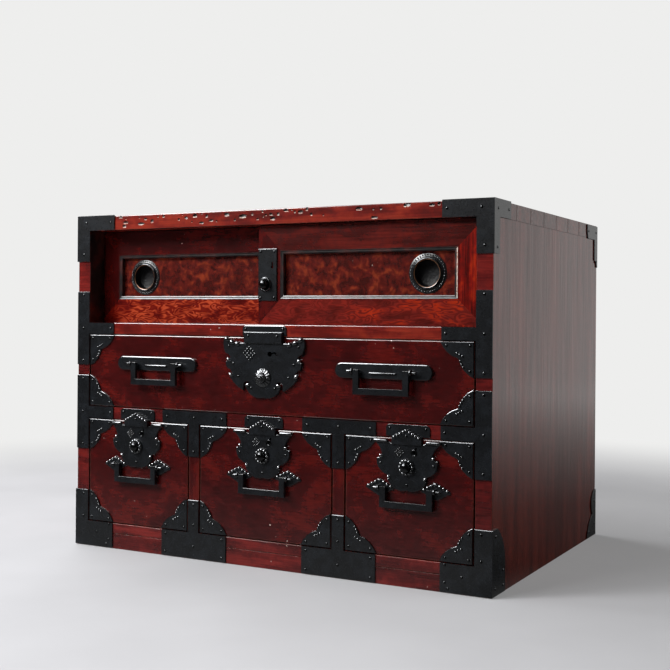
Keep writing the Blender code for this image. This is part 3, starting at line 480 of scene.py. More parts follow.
def paulownia(name, grain):
    """Bare planed paulownia of the trays and back: pale, dry and straight-grained."""
    made, put, shader, place = new_finish(name)
    along = put("Mapping", {0: place, "Scale": per_mm(*grain)})
    rings = put("TexNoise", {0: along, "Scale": 1, "Detail": 4, "Distortion": 0.4})
    late = put("MapRange", [rings, 0.42, 0.6], **SMOOTH)
    tone = put("Mix", {0: late, 6: colours().paulownia, 7: colours().paulownia_dark}, **BLEND)
    rough = put("MapRange", {0: rings, 3: 0.6, 4: 0.75})
    relief = put("Bump", {"Strength": 0.4, "Distance": 0.2 * MM, "Height": rings})
    wire(shader, {"Base Color": tone, "Roughness": rough, "Normal": relief})
    return made


# How each material is made; the paulownia's grain is in millimetres, along X or along Y
FINISHES = {
    **{name: (lacquer, settings) for name, settings in LACQUERS.items()},
    HIGHLIGHT_WOOD: (pale_wood_highlight, {}),
    IRON: (black_iron, {}),
    SHADE_IRON: (shade_iron, {}),
    COPPER: (copper_lip, {}),
    WOOD: (paulownia, {"grain": (170, 3.5, 3.5)}),
    WOOD_SIDES: (paulownia, {"grain": (3.5, 170, 3.5)}),
}


def finish(name):
    """A material by name, made when it is first wanted."""
    maker, settings = FINISHES[name]
    return bpy.data.materials.get(name) or maker(name, **settings)


# Meshes


def piece(name, mesh, finishes, body, slot, *nodes):
    """A finished piece that rides on a body and stands for the nodes it replaces."""
    data = bpy.data.meshes.new(name)
    mesh.to_mesh(data)
    mesh.free()
    made = bpy.data.objects.new(name, data)
    for each in finishes:
        data.materials.append(finish(each))
    bpy.context.scene.collection.objects.link(made)
    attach(made, body)
    if nodes:
        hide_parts(*nodes)


def iron(name, mesh, body, *nodes):
    """A piece of black iron."""
    piece(name, mesh, [IRON], body, BLACK, *nodes)


def empty_mesh():
    """An empty mesh with a layer that says how worn each face is."""
    mesh = bmesh.new()
    wear_layer(mesh)
    return mesh


def wear_layer(mesh):
    """The layer that says how worn each face is."""
    return mesh.faces.layers.float.get("wear") or mesh.faces.layers.float.new("wear")


def merge(mesh, *others):
    """Add other meshes to a mesh."""
    for other in others:
        data = bpy.data.meshes.new("part_of_a_piece")
        other.to_mesh(data)
        other.free()
        mesh.from_mesh(data)
        bpy.data.meshes.remove(data)
    return mesh


def block(low, high):
    """A box between two corners."""
    mesh = empty_mesh()
    low, high = Vector(low), Vector(high)
    place = Matrix.Translation((low + high) / 2) @ Matrix.Diagonal((*(high - low), 1))
    bmesh.ops.create_cube(mesh, size=1, matrix=place)
    return mesh


def copy_of(node):
    """A clean copy of a CAD node's mesh."""
    mesh = bmesh.new()
    mesh.from_mesh(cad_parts[node].data)
    wear_layer(mesh)
    bmesh.ops.remove_doubles(mesh, verts=mesh.verts, dist=0.01 * MM)
    join_flats(mesh)
    return mesh


def join_flats(mesh):
    """Join neighbouring faces that lie in one plane."""
    bmesh.ops.dissolve_limit(mesh, angle_limit=ONE_PLANE, verts=mesh.verts, edges=mesh.edges)


def trim(mesh, point, outward):
    """Cut away what lies beyond a plane, and close the cut."""
    whole = mesh.verts[:] + mesh.edges[:] + mesh.faces[:]
    bmesh.ops.bisect_plane(mesh, geom=whole, plane_co=point, plane_no=outward, clear_outer=True)
    opened = [edge for edge in mesh.edges if edge.is_boundary]
    bmesh.ops.holes_fill(mesh, edges=opened, sides=0)
    join_flats(mesh)
    return mesh


def sharp(mesh, ahead=REAR, above=0):
    """The sharp outer edges of a mesh that lie ahead of a depth and above a height."""
    found = []
    for edge in mesh.edges:
        placed = all(vertex.co.y <= ahead and vertex.co.z >= above for vertex in edge.verts)
        if placed and edge.is_manifold and edge.is_convex and edge.calc_face_angle() > SHARP:
            found.append(edge)
    return found


def soften(mesh, width, edges=None, segments=2, worn=RUBBED):
    """Round sharp outer edges, and say how worn the new faces are."""
    layer = wear_layer(mesh)
    made = bmesh.ops.bevel(
        mesh, geom=sharp(mesh) if edges is None else edges, offset=width, offset_type="OFFSET",
        affect="EDGES", segments=segments, profile=0.5, material=-1, clamp_overlap=True,
    )
    for face in made["faces"]:
        face[layer] = worn
    return mesh


def carve(mesh, *cutters):
    """Take closed cutters out of a mesh."""
    holders = []
    for each in (mesh, *cutters):
        data = bpy.data.meshes.new("carving")
        each.to_mesh(data)
        each.free()
        holders.append(bpy.data.objects.new("carving", data))
        bpy.context.scene.collection.objects.link(holders[-1])
    for cutter in holders[1:]:
        cut = holders[0].modifiers.new("cut", "BOOLEAN")
        cut.operation = "DIFFERENCE"
        cut.solver = "EXACT"
        cut.object = cutter
    seen = holders[0].evaluated_get(bpy.context.evaluated_depsgraph_get())
    data = bpy.data.meshes.new_from_object(seen)
    result = bmesh.new()
    result.from_mesh(data)
    bpy.data.meshes.remove(data)
    for holder in holders:
        bpy.data.meshes.remove(holder.data)
    wear_layer(result)
    return result


def arc(start, end, bow):
    """Points from start towards end on an arc that rises by bow to the left of the way."""
    chord = Vector(end) - Vector(start)
    angle = 4 * math.atan(2 * bow / chord.length)
    steps = max(2, math.ceil(abs(angle) / ARC_STEP))
    left = Vector((-chord.y, chord.x)).normalized()
    radius = (chord.length**2 / 4 + bow**2) / (2 * bow)
    centre = (Vector(start) + Vector(end)) / 2 + left * (bow - radius)
    arm = Vector(start) - centre
    turns = [Matrix.Rotation(-angle * i / steps, 2) for i in range(steps)]
    return [tuple(centre + turn @ arm) for turn in turns]


def path(corners):
    """An open outline: each corner is (u, v) or (u, v, bow of the arc to the next corner)."""
    points = []
    for here, after in zip(corners, corners[1:]):
        points += arc(here[:2], after[:2], here[2]) if len(here) == 3 else [here[:2]]
    return points + [corners[-1][:2]]


def both_sides(half, centre=0, level=0):
    """A closed outline from its right half, run from the top middle to the bottom middle."""
    right = path(half)
    whole = right + [(-u, v) for u, v in reversed(right) if u > 0]
    return [(centre + u, level + v) for u, v in whole]


def in_mm(corners):
    """Corners of an outline or a profile that are given in millimetres."""
    return [tuple(each * MM for each in corner) for corner in corners]


def beaded(start, end, count, bow):
    """Corners of an edge made of equal small bows."""
    run = (Vector(end) - Vector(start)) / count
    return [(start[0] + run.x * i, start[1] + run.y * i, bow) for i in range(count)]


def flat_sheet(mesh, points, depth):
    """A flat face that looks forward: u, v lie in x, z."""
    return mesh.faces.new([mesh.verts.new((u, depth, v)) for u, v in points])


def slab(mesh, sheets, step):
    """Give a flat face or ring of faces a thickness, and give the faces of its front."""
    grown = bmesh.ops.extrude_face_region(mesh, geom=sheets)["geom"]
    moved = [each for each in grown if isinstance(each, bmesh.types.BMVert)]
    bmesh.ops.translate(mesh, verts=moved, vec=(0, step, 0))
    bmesh.ops.recalc_face_normals(mesh, faces=mesh.faces)
    return [each for each in grown if isinstance(each, bmesh.types.BMFace)]


def prism(points, start, end):
    """A closed shape with a flat outline, from one depth to another."""
    mesh = empty_mesh()
    slab(mesh, [flat_sheet(mesh, points, start)], end - start)
    return mesh


def plate(points, rear, front, edge, segments=2):
    """A plate with rounded front edges."""
    mesh = empty_mesh()
    face = slab(mesh, [flat_sheet(mesh, points, rear)], front - rear)[0]
    return soften(mesh, edge, list(face.edges), segments)


def rim(points, face):
    """The raised rim of a plate, which follows its outline on the inner side."""
    rear = face + 0.5 * MM
    rise = sizes().rim_rise
    mesh = empty_mesh()
    sheet = flat_sheet(mesh, points, rear)
    bmesh.ops.inset_region(mesh, faces=[sheet], thickness=sizes().rim, use_even_offset=False)
    bmesh.ops.delete(mesh, geom=[sheet], context="FACES_ONLY")
    faces = slab(mesh, mesh.faces[:], face - rise - rear)
    kept = set(faces)
    edges = {edge for top in faces for edge in top.edges if not kept.issuperset(edge.link_faces)}
    return soften(mesh, rise * 0.8, list(edges))


def aimed(place, facing):
    """A frame at a place whose Z axis points along facing."""
    turn = UPWARD.rotation_difference(Vector(facing)).to_matrix().to_4x4()
    return Matrix.Translation(place) @ turn


def to_side(mesh, side):
    """Turn a mesh that looks forward round to a side of the chest."""
    bmesh.ops.transform(mesh, matrix=Matrix.Rotation(side * math.pi / 2, 4, "Z"), verts=mesh.verts)
    return mesh


def dome(mesh, place, across, up, out, tilt=0, facing=FRONTWARD, worn=1, steps=12):
    """A smooth dome on a face, sunk to its middle: across and up lie in the face."""
    spread = Matrix.Diagonal((across, up, out, 1))
    frame_at = aimed(place, facing) @ Matrix.Rotation(tilt, 4, "Z") @ spread
    made = bmesh.ops.create_uvsphere(mesh, u_segments=steps, v_segments=8, radius=1, matrix=frame_at)
    layer = wear_layer(mesh)
    for face in {face for vertex in made["verts"] for face in vertex.link_faces}:
        face.smooth = True
        face[layer] = worn


def spots(places, face, u=0, v=0, to_u=1, to_v=1):
    """Places on a face that looks forward, in millimetres beside and above a point."""
    return [(u + to_u * a * MM, face, v + to_v * b * MM) for a, b in places]


def nails(mesh, places, facing=FRONTWARD):
    """Domed nails at places on a face."""
    for place in places:
        dome(mesh, place, sizes().nail, sizes().nail, sizes().nail_rise, 0, facing, HANDLED)


def turned(profile, place, facing=FRONTWARD, steps=48):
    """A turned shape: its profile is (radius, height along facing)."""
    mesh = empty_mesh()
    points = [mesh.verts.new((radius, 0, height)) for radius, height in profile]
    edges = [mesh.edges.new(pair) for pair in zip(points, points[1:])]
    bmesh.ops.spin(
        mesh, geom=points + edges, axis=(0, 0, 1), cent=(0, 0, 0), angle=math.tau, steps=steps, use_merge=True
    )
    bmesh.ops.remove_doubles(mesh, verts=mesh.verts, dist=0.005 * MM)
    bmesh.ops.recalc_face_normals(mesh, faces=mesh.faces)
    bmesh.ops.transform(mesh, matrix=aimed(place, facing), verts=mesh.verts)
    for face in mesh.faces:
        face.smooth = True
    return mesh


def quarter(steps):
    """Angles of a quarter turn."""
    return [math.pi / 2 * i / steps for i in range(steps + 1)]


def rod(start, end, radius):
    """A rubbed round rod with domed ends, whose profile is spun round its line."""
    start, end = Vector(start), Vector(end)
    reach = (end - start).length
    foot = [(radius * math.sin(t), -radius * math.cos(t)) for t in quarter(4)]
    head = [(radius * math.cos(t), reach + radius * math.sin(t)) for t in quarter(4)]
    return mark_worn(turned(foot + head, start, end - start, 16), RUBBED)


def mark_worn(mesh, worn):
    """Say how worn every face of a mesh is."""
    layer = wear_layer(mesh)
    for face in mesh.faces:
        face[layer] = worn
    return mesh


def in_slot(mesh, number):
    """Give every face of a mesh one of its piece's finishes."""
    for face in mesh.faces:
        face.material_index = number
    return mesh


def middle_of(node):
    """The middle of a node's box."""
    low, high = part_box(node)
    return (low + high) / 2


def drawer_middle(word):
    """The middle of a drawer along X."""
    low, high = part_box(f"{word}_drawer_front")
    return (low.x + high.x) / 2


# Operators


class CHEST_OT_boards(bpy.types.Operator):
    """Boards of the carcass, with worn edges and dents in the top rail"""

    bl_idname = "chest.boards"
    bl_label = "Boards"

    # Dents: the share left of the middle, where the halves meet and how far out they go, half widths
    # and half heights in millimetres, and how clear they stay of each other
    LEFT_SHARE = 0.64
    HALVES_MEET = 0.02
    DENTS_REACH = 0.235
    DENT_WIDTHS = (1.0, 1.4, 2.0, 2.8, 3.8, 4.8, 5.8)
    DENT_HEIGHTS = (1.1, 2.1)
    DENTS_APART = 1.4

    def execute(self, context):
        self.board("base_board", FOOT, RED, 0.4)
        self.board("drawer_floor", FOOT, RED)
        self.board("left_post", POST, RED)
        self.board("right_post", POST, RED)
        self.board("back_panel", WOOD, PALE)
        for node, coat in (("lower_shelf", FOOT), ("upper_shelf", RAIL)):
            mesh = trim(copy_of(node), (0, FRONT + SKIN, 0), FRONTWARD)
            if node == "upper_shelf":
                soften(mesh, sizes().board_edge * 0.7)
            piece(f"{node}_board", mesh, [coat], "chest", RED, node)
        for side, word in ((-1, "left"), (1, "right")):
            mesh = copy_of(f"{word}_side")
            trim(mesh, (side * (HALF_WIDTH - SKIN), 0, 0), (side, 0, 0))
            soften(mesh, sizes().board_edge / 2, self.arrises(mesh))
            for face in mesh.faces:
                # Faces that look into the chest take the near-black lacquer as painted shade, and the pins'
                # rounded edges take it as dark joint lines; front faces take the foot lacquer
                inward = face.normal.x * side < -FACES or self.in_joint(face)
                face.material_index = 2 if inward else int(face.normal.y < -FACES)
            piece(f"{word}_side_board", mesh, [SIDE, FOOT, MOULDING_AND_SHADE], "chest", DARK, f"{word}_side")
        self.top_board()
        return {"FINISHED"}

    def board(self, node, coat, slot, share=1):
        """A plain board with rounded edges, in a node's place."""
        mesh = soften(block(*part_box(node)), sizes().board_edge * share)
        piece(f"{node}_board", mesh, [coat], "chest", slot, node)

    def arrises(self, mesh):
        """The edges that are rounded: those of the front and those that stand upright."""
        found = []
        for edge in sharp(mesh):
            start, end = (vertex.co for vertex in edge.verts)
            if abs(end.z - start.z) > 1 * MM or max(start.y, end.y) < FRONT + CLEAR:
                found.append(edge)
        return found

    def in_joint(self, face):
        """Whether a face is the rounded edge of a pin, where the joint shows as a dark line."""
        pinned = face.calc_center_median().z > TOP_LOW.z - 1 * MM
        return pinned and min(abs(face.normal.x), abs(face.normal.y)) > LEANS

    def top_board(self):
        """The top board: dark and glossy above, red and dented along its front. The dents' hollows are
        painted shade in near-black lacquer, and their lower lips are a painted highlight in pale bare wood.
        """
        mesh = copy_of("top_board")
        soften(mesh, sizes().board_edge, self.arrises(mesh))
        for face in mesh.faces:
            face.material_index = 2 if self.in_joint(face) else int(face.normal.y < -LEANS)
        draw = random.Random(7)
        pits = empty_mesh()
        lips = empty_mesh()
        taken = []
        while len(taken) < sizes().dents:
            if draw.random() < self.LEFT_SHARE:
                x = draw.uniform(-self.DENTS_REACH, self.HALVES_MEET)
            else:
                x = draw.uniform(self.HALVES_MEET, self.DENTS_REACH)
            z = draw.triangular(TOP_LOW.z + 3 * MM, TOP_HIGH.z + 0.3 * MM, TOP_HIGH.z - 2 * MM)
            wide = draw.choice(self.DENT_WIDTHS) * MM
            high = min(wide, draw.uniform(*self.DENT_HEIGHTS) * MM)
            deep = sizes().dent_depth * draw.uniform(0.6, 1.0)
            if all(self.apart((x, wide, z, high), other) for other in taken):
                taken.append((x, wide, z, high))
                # Each dent's hollow takes near-black lacquer as painted shade, and its lower lip takes pale
                # bare wood as a painted highlight
                self.pit(pits, (x, FRONT, z), (wide, deep, high), 2)
                self.pit(lips, (x, FRONT, z - high), (0.9 * wide, 0.5 * MM, 0.55 * high), 3)
        finishes = [TOP, RAIL, MOULDING_AND_SHADE, HIGHLIGHT_WOOD]
        piece("top_board_dented", carve(mesh, pits, lips), finishes, "chest", RED, "top_board")

    def apart(self, one, other):
        """Whether two dents stay clear of each other."""
        x, wide, z, high = one
        other_x, other_wide, other_z, other_high = other
        beside = abs(x - other_x) > self.DENTS_APART * (wide + other_wide)
        return beside or abs(z - other_z) > self.DENTS_APART * (high + other_high)

    def pit(self, mesh, place, reach, slot):
        """A lumpy cutter for a dent in a face."""
        spread = Matrix.Translation(place) @ Matrix.Diagonal((*reach, 1))
        made = bmesh.ops.create_icosphere(mesh, subdivisions=2, radius=1)
        for vertex in made["verts"]:
            vertex.co *= 1 + 0.35 * noise.noise(vertex.co * 1.3 + Vector(place) * 1000)
        for face in {face for vertex in made["verts"] for face in vertex.link_faces}:
            face.material_index = slot
        bmesh.ops.transform(mesh, matrix=spread, verts=made["verts"])


class CHEST_OT_frame_irons(bpy.types.Operator):
    """Irons that bind the frame, with their nails, and the strike plates"""

    bl_idname = "chest.frame_irons"
    bl_label = "Frame Irons"

    # Nails in millimetres: on the fronts inward from the side, on the sides back from the front, both
    # up from the head, the floor or the middle of the iron, and on the top inward and back
    TOP_FRONT = ((56, -10), (14, -10), (10, -53))
    TOP_SIDE = ((11, -11), (46, -10), (9, -55))
    TOP_ABOVE = ((10, 10), (10, 46))
    BASE_FRONT = ((56, 32), (56, 12), (35, 20), (12, 40), (12, 70), (52, 5))
    BASE_SIDE = ((9, 9), (34, 9), (34, 26), (9, 68))
    BAND_FRONT = ((57, 0), (10, 0), (10, 45), (10, -44))

    def execute(self, context):
        for side, word in ((-1, "left"), (1, "right")):
            node = f"top_{word}_corner"
            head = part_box(node)[1].z
            self.bind(side, node, head, self.TOP_FRONT, self.TOP_SIDE, self.TOP_ABOVE, worn=0)
            self.bind(side, f"base_{word}_corner", 0, self.BASE_FRONT, self.BASE_SIDE)
            for level in ("upper", "lower"):
                node = f"{level}_{word}_band"
                low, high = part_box(node)
                self.bind(side, node, (low.z + high.z) / 2, self.BAND_FRONT)
            self.tee(f"{word}_rail_tee", -1)
            self.tee(f"{word}_base_tee", 1)
            self.rear_corner(side, word)
        self.strike("large_strike_plate", 0, 32 * MM, UPPER_LOW.z, UPPER_HIGH.z, 0.7 * MM)
        for word in ("left", "middle", "right"):
            middle = drawer_middle(word)
            self.strike(f"{word}_strike_plate", middle, 28 * MM, LOWER_LOW.z, LOWER_HIGH.z, 0.15 * MM)
        return {"FINISHED"}

    def forged(self, node, worn, headed=True):
        """A copy of an iron, with a rounded edge on the head of its leg."""
        mesh = copy_of(node)
        if headed:
            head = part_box(node)[1].z - CLEAR
            soften(mesh, 2 * sizes().iron_edge, sharp(mesh, FRONT - CLEAR, head), worn=worn)
        return mesh

    def bind(self, side, node, level, front, beside=(), above=(), worn=TOUCHED):
        """An iron on a corner or a joint, with nails on its front, its side and its top."""
        mesh = self.forged(node, worn)
        if node.startswith("base"):
            self.shoulder(mesh, side, node)
        nails(mesh, spots(front, IRON_FACE, side * HALF_WIDTH, level, -side))
        face = side * (HALF_WIDTH + SIDE_RISE)
        nails(mesh, [(face, FRONT + u * MM, level + v * MM) for u, v in beside], (side, 0, 0))
        nails(mesh, [(side * (HALF_WIDTH - u * MM), FRONT + v * MM, level) for u, v in above], UPWARD)
        iron(f"{node}_iron", mesh, "chest", node)

    def shoulder(self, mesh, side, node):
        """Fill the corner between the leg and the tab on a side with a round shoulder."""
        low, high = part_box(node)
        outer = max(-low.x, high.x)
        rail = max(vertex.co.z for vertex in mesh.verts if vertex.co.y > high.y - CLEAR)
        leg = max(vertex.co.y for vertex in mesh.verts if vertex.co.z > high.z - CLEAR)
        corners = [(leg, rail), (high.y, rail, -6.5 * MM), (leg, high.z)]
        filled = prism([(side * u, v) for u, v in path(corners)], -HALF_WIDTH - CLEAR, -outer)
        merge(mesh, to_side(filled, side))

    def tee(self, node, stem):
        """A tee iron on a rail: stem says whether its stem goes up or down."""
        low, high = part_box(node)
        centre = (low.x + high.x) / 2
        mesh = self.forged(node, HANDLED, stem > 0)
        if stem < 0:
            rail = high.z - 8 * MM
            places = [(-43, rail), (43, rail), (0, rail), (0, low.z + 6 * MM)]
        else:
            places = [(-44, 6 * MM), (44, 6 * MM), (-44, 29 * MM), (44, 29 * MM)]
            places += [(0, 16 * MM), (0, 44 * MM), (0, high.z - 6 * MM)]
        nails(mesh, [(centre + u * MM, IRON_FACE, v) for u, v in places])
        iron(f"{node}_iron", mesh, "chest", node)

    def rear_corner(self, side, word):
        """The two irons on a side's rear corners: a tab and strip at the head, a cloud at the foot."""
        edge = REAR - 0.8 * MM
        rear = -HALF_WIDTH - CLEAR
        face = rear - LAID
        for end, (corners, places) in REAR_IRONS.items():
            level = TOP_HIGH.z if end == "top" else 0
            outline = [(side * (edge - u), level + v) for u, v in path(in_mm(corners))]
            mesh = mark_worn(plate(outline, rear, face, sizes().iron_edge), 0)
            # The plate's edge faces take the matt black iron as painted shade
            for each in mesh.faces:
                each.material_index = int(abs(each.normal.y) < LEANS)
            nails(mesh, spots(places, face, side * edge, level, -side))
            piece(f"{word}_rear_{end}_iron", to_side(mesh, side), [IRON, SHADE_IRON], "chest", BLACK)

    def strike(self, name, centre, half, low, high, edge):
        """A strike plate on a rail, with rounded upper corners and nails."""
        top = high - 1 * MM
        foot = low + 1 * MM
        corner = 5 * MM
        right = [(0, top), (half - corner, top, 1.5 * MM), (half, top - corner), (half, foot), (0, foot)]
        face = FRONT - LAID
        mesh = plate(both_sides(right, centre), FRONT, face, edge)
        for side in (-1, 1):
            nails(mesh, [(centre + side * (half - corner), face, top - 4.5 * MM)])
        iron(name, mesh, "chest")


class CHEST_OT_doors(bpy.types.Operator):
    """Sliding doors: mitred frames, mouldings, figured panels, round pulls and the door lock"""

    bl_idname = "chest.doors"
    bl_label = "Doors"

    # Tongues at a door's foot and head, and the rounding of its members
    FOOT_TONGUE = 4 * MM
    HEAD_TONGUE = 8 * MM
    MEMBER_EDGE = 0.4 * MM

    # Finishes of a door: foot rail, head rail, right stile, moulding, its left-facing slope and left stile.
    # On the rear door, the drawer lacquer of the head rail and the post lacquer of the left stile are painted
    # shade; on the front door, the pale wood of the left-facing slope is a painted highlight
    COATS = {
        "left": [BURL, DRAWER, POST, MOULDING_AND_SHADE, MOULDING_AND_SHADE, POST],
        "right": [FIGURED_RAIL, SHADED_DOOR_RAIL, STILE, MOULDING_AND_SHADE, HIGHLIGHT_WOOD, POST],
    }

    # Reach of a pull's cup, copper lip and rolled ring, and its row of beads
    CUP_REACH = 15.9 * MM
    LIP_REACH = 16.5 * MM
    ROLL_REACH = 19.2 * MM
    BEAD_REACH = 21.8 * MM
    BEAD = 1.1 * MM
    BEADS = 40

    def execute(self, context):
        for word in ("left", "right"):
            self.door_frame(word)
            body = f"{word}_door"
            mesh = soften(copy_of(f"{word}_door_panel"), 0.2 * MM)
            piece(f"{word}_figured_panel", mesh, [PANEL], body, FIGURED, f"{word}_door_panel")
            self.pull(word)
        self.door_lock()
        return {"FINISHED"}

    def door_frame(self, word):
        """A door's four mitred members and the moulding round its panel."""
        node = f"{word}_door_frame"
        low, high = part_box(node)
        foot, head = low.z + self.FOOT_TONGUE, high.z - self.HEAD_TONGUE
        sides = {-1: low.x, 1: high.x}
        ends = {-1: foot, 1: head}
        mesh = empty_mesh()
        for end in (-1, 1):
            member = copy_of(node)
            for side in (-1, 1):
                trim(member, (sides[side], 0, ends[end]), (side, 0, -end))
            trim(member, (0, 0, (foot + head) / 2), (0, 0, -end))
            merge(mesh, in_slot(soften(member, self.MEMBER_EDGE), int(end > 0)))
        for side in (-1, 1):
            member = copy_of(node)
            for end in (-1, 1):
                trim(member, (sides[side], 0, ends[end]), (-side, 0, end))
            merge(mesh, in_slot(soften(member, self.MEMBER_EDGE), 2 if side > 0 else 5))
        wide = sizes().member
        window = ((low.x + wide, foot + wide), (high.x - wide, head - wide))
        merge(mesh, self.moulding(window, low.y))
        piece(f"{node}_mitred", mesh, self.COATS[word], f"{word}_door", RED, node)

    def moulding(self, window, door_face):
        """Two stepped slopes inside a window, from the door's face down to its panel."""
        (left, foot), (right, head) = window
        rear = door_face + 5.8 * MM
        front = door_face - 0.4 * MM
        slope, drop = sizes().moulding, sizes().moulding_drop
        lip, flat, quirk = 0.3 * MM, 1.2 * MM, 0.2 * MM
        fall = rear - front - 2 * drop
        mesh = empty_mesh()
        corners = ((left, foot), (left, head), (right, head), (right, foot))
        sheet = flat_sheet(mesh, corners, rear)
        inner = slab(mesh, [sheet], front - rear)[0]
        for wide, down in ((lip, 0), (slope, drop), (flat, 0), (slope, drop), (quirk, fall)):
            bmesh.ops.inset_region(mesh, faces=[inner], thickness=wide, depth=-down, use_even_offset=True)
        bmesh.ops.delete(mesh, geom=[inner, sheet], context="FACES_ONLY")
        bmesh.ops.bridge_loops(mesh, edges=[edge for edge in mesh.edges if edge.is_boundary])
        bmesh.ops.recalc_face_normals(mesh, faces=mesh.faces)
        in_slot(mesh, 3)
        # The outer slope's faces that look left take slot 4, which on the front door is pale wood as a
        # painted highlight
        for face in mesh.faces:
            if -0.9 < face.normal.x < -0.1 and face.calc_center_median().y < front + drop:
                face.material_index = 4
        return mesh

    def pull(self, word):
        """A round pull: beaded outer ring, thin copper lip and a sunk cup."""
        node = f"{word}_door_pull"
        centre = middle_of(node)
        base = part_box(node)[0].y + 3.2 * MM
        raised = base - 1 * MM
        profile = in_mm(PULL_CUP + PULL_ROLL + PULL_BACK)
        mesh = turned(profile, (centre.x, base, centre.z), steps=64)
        worn = wear_layer(mesh)
        for face in mesh.faces:
            middle = face.calc_center_median()
            reach = math.hypot(middle.x - centre.x, middle.z - centre.z)
            # The cup takes the matt black iron as painted shade
            if reach < self.CUP_REACH:
                face.material_index = 1
            elif reach < self.LIP_REACH and middle.y < raised:
                face.material_index = 2
            elif reach < self.ROLL_REACH and middle.y < raised:
                face[worn] = TOUCHED
        for i in range(self.BEADS):
            turn = math.tau * i / self.BEADS
            x = centre.x + self.BEAD_REACH * math.sin(turn)
            z = centre.z + self.BEAD_REACH * math.cos(turn)
            dome(mesh, (x, base - 0.6 * MM, z), self.BEAD, self.BEAD, self.BEAD, worn=BRIGHT, steps=8)
        piece(f"{node}_turned", mesh, [IRON, SHADE_IRON, COPPER], f"{word}_door", BLACK, node)

    def door_lock(self):
        """The lock strip on the meeting stile, and its knob."""
        low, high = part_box("door_lock_plate")
        button = middle_of("door_lock_button")
        middle = middle_of("door_lock_plate")
        outline = [(low.x, high.z), (high.x, high.z), (high.x, low.z), (low.x, low.z)]
        mesh = plate(outline, high.y, low.y, 0.5 * MM)
        front, rear = low.y - 1 * MM, high.y + 1 * MM
        hole = keyhole(SLOT_KEYHOLE, middle.x + 7 * MM, middle.z + 9 * MM, front, rear)
        mesh = carve(mesh, hole, rod_cutter(button.x, button.z, front, rear))
        inset = 3.6 * MM
        for v in (high.z - inset, low.z + inset):
            nails(mesh, [(low.x + inset, low.y, v), (high.x - inset, low.y, v)])
        place = (button.x, low.y, button.z)
        merge(mesh, mark_worn(turned(in_mm(DOOR_COLLAR), place), RUBBED))
        iron("door_lock_strip", mesh, "right_door", "door_lock_plate")
        iron("door_lock_knob", knob(7, place), "door_button", "door_lock_button")


def knob(shank, place):
    """A domed button with its shank, in millimetres."""
    domed = [(6 * math.sin(t), 5 + 4 * math.cos(t)) for t in quarter(8)]
    return mark_worn(turned(in_mm(domed + [(6, -shank), (0, -shank)]), place), HANDLED)


def keyhole(corners, u, v, front, rear, turn=0):
    """A cutter for a keyhole from its corners in millimetres."""
    spin = Matrix.Rotation(turn, 2)
    outline = [Vector((u, v)) + spin @ Vector(point) for point in path(in_mm(corners))[:-1]]
    return prism(outline, front, rear)


def rod_cutter(u, v, front, rear):
    """A cutter for a button's bore."""
    mesh = bmesh.new()
    place = aimed((u, (front + rear) / 2, v), FRONTWARD)
    bmesh.ops.create_cone(
        mesh, cap_ends=True, segments=32, radius1=BORE, radius2=BORE, depth=rear - front, matrix=place
    )
    return mesh


class CHEST_OT_drawers(bpy.types.Operator):
    """Drawer fronts with their cloud-edged corner irons, and the trays"""

    bl_idname = "chest.drawers"
    bl_label = "Drawers"

    def execute(self, context):
        for word in ("large", "left", "middle", "right"):
            node = f"{word}_drawer_front"
            body = f"{word}_drawer"
            low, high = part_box(node)
            left, right = low.x + sizes().drawer_gap, high.x - sizes().drawer_gap
            mesh = trim(copy_of(node), (0, FRONT + SKIN, 0), FRONTWARD)
            trim(mesh, (left, 0, 0), (-1, 0, 0))
            trim(mesh, (right, 0, 0), (1, 0, 0))
            soften(mesh, sizes().drawer_edge, sharp(mesh, FRONT + CLEAR))
            piece(f"{node}_board", mesh, [DRAWER], body, RED, node)
            mesh = empty_mesh()
            for x, to_x in ((left, 1), (right, -1)):
                for z, to_z in ((low.z, 1), (high.z, -1)):
                    self.corner(mesh, x, z, to_x, to_z)
            iron(f"{word}_drawer_irons", mesh, body)
            mesh = soften(copy_of(f"{word}_drawer_tray"), 0.5 * MM)
            for face in mesh.faces:
                face.material_index = int(abs(face.normal.x) > FACES)
            piece(f"{word}_drawer_box", mesh, [WOOD, WOOD_SIDES], body, PALE, f"{word}_drawer_tray")
        return {"FINISHED"}

    def corner(self, mesh, x, z, to_x, to_z):
        """A cloud-edged iron with a rolled rim, nails and a cluster of beads at its cusp."""
        points = [(x + to_x * u, z + to_z * v) for u, v in path(in_mm(CLOUD))]
        merge(mesh, plate(points, FRONT, PLATE_FACE, sizes().iron_edge), rim(points, PLATE_FACE))
        nails(mesh, spots(CLOUD_NAILS, PLATE_FACE, x, z, to_x, to_z))
        for spot in spots(CLOUD_BEADS, PLATE_FACE, x, z, to_x, to_z):
            dome(mesh, spot, sizes().bead, sizes().bead, sizes().bead, worn=BRIGHT)


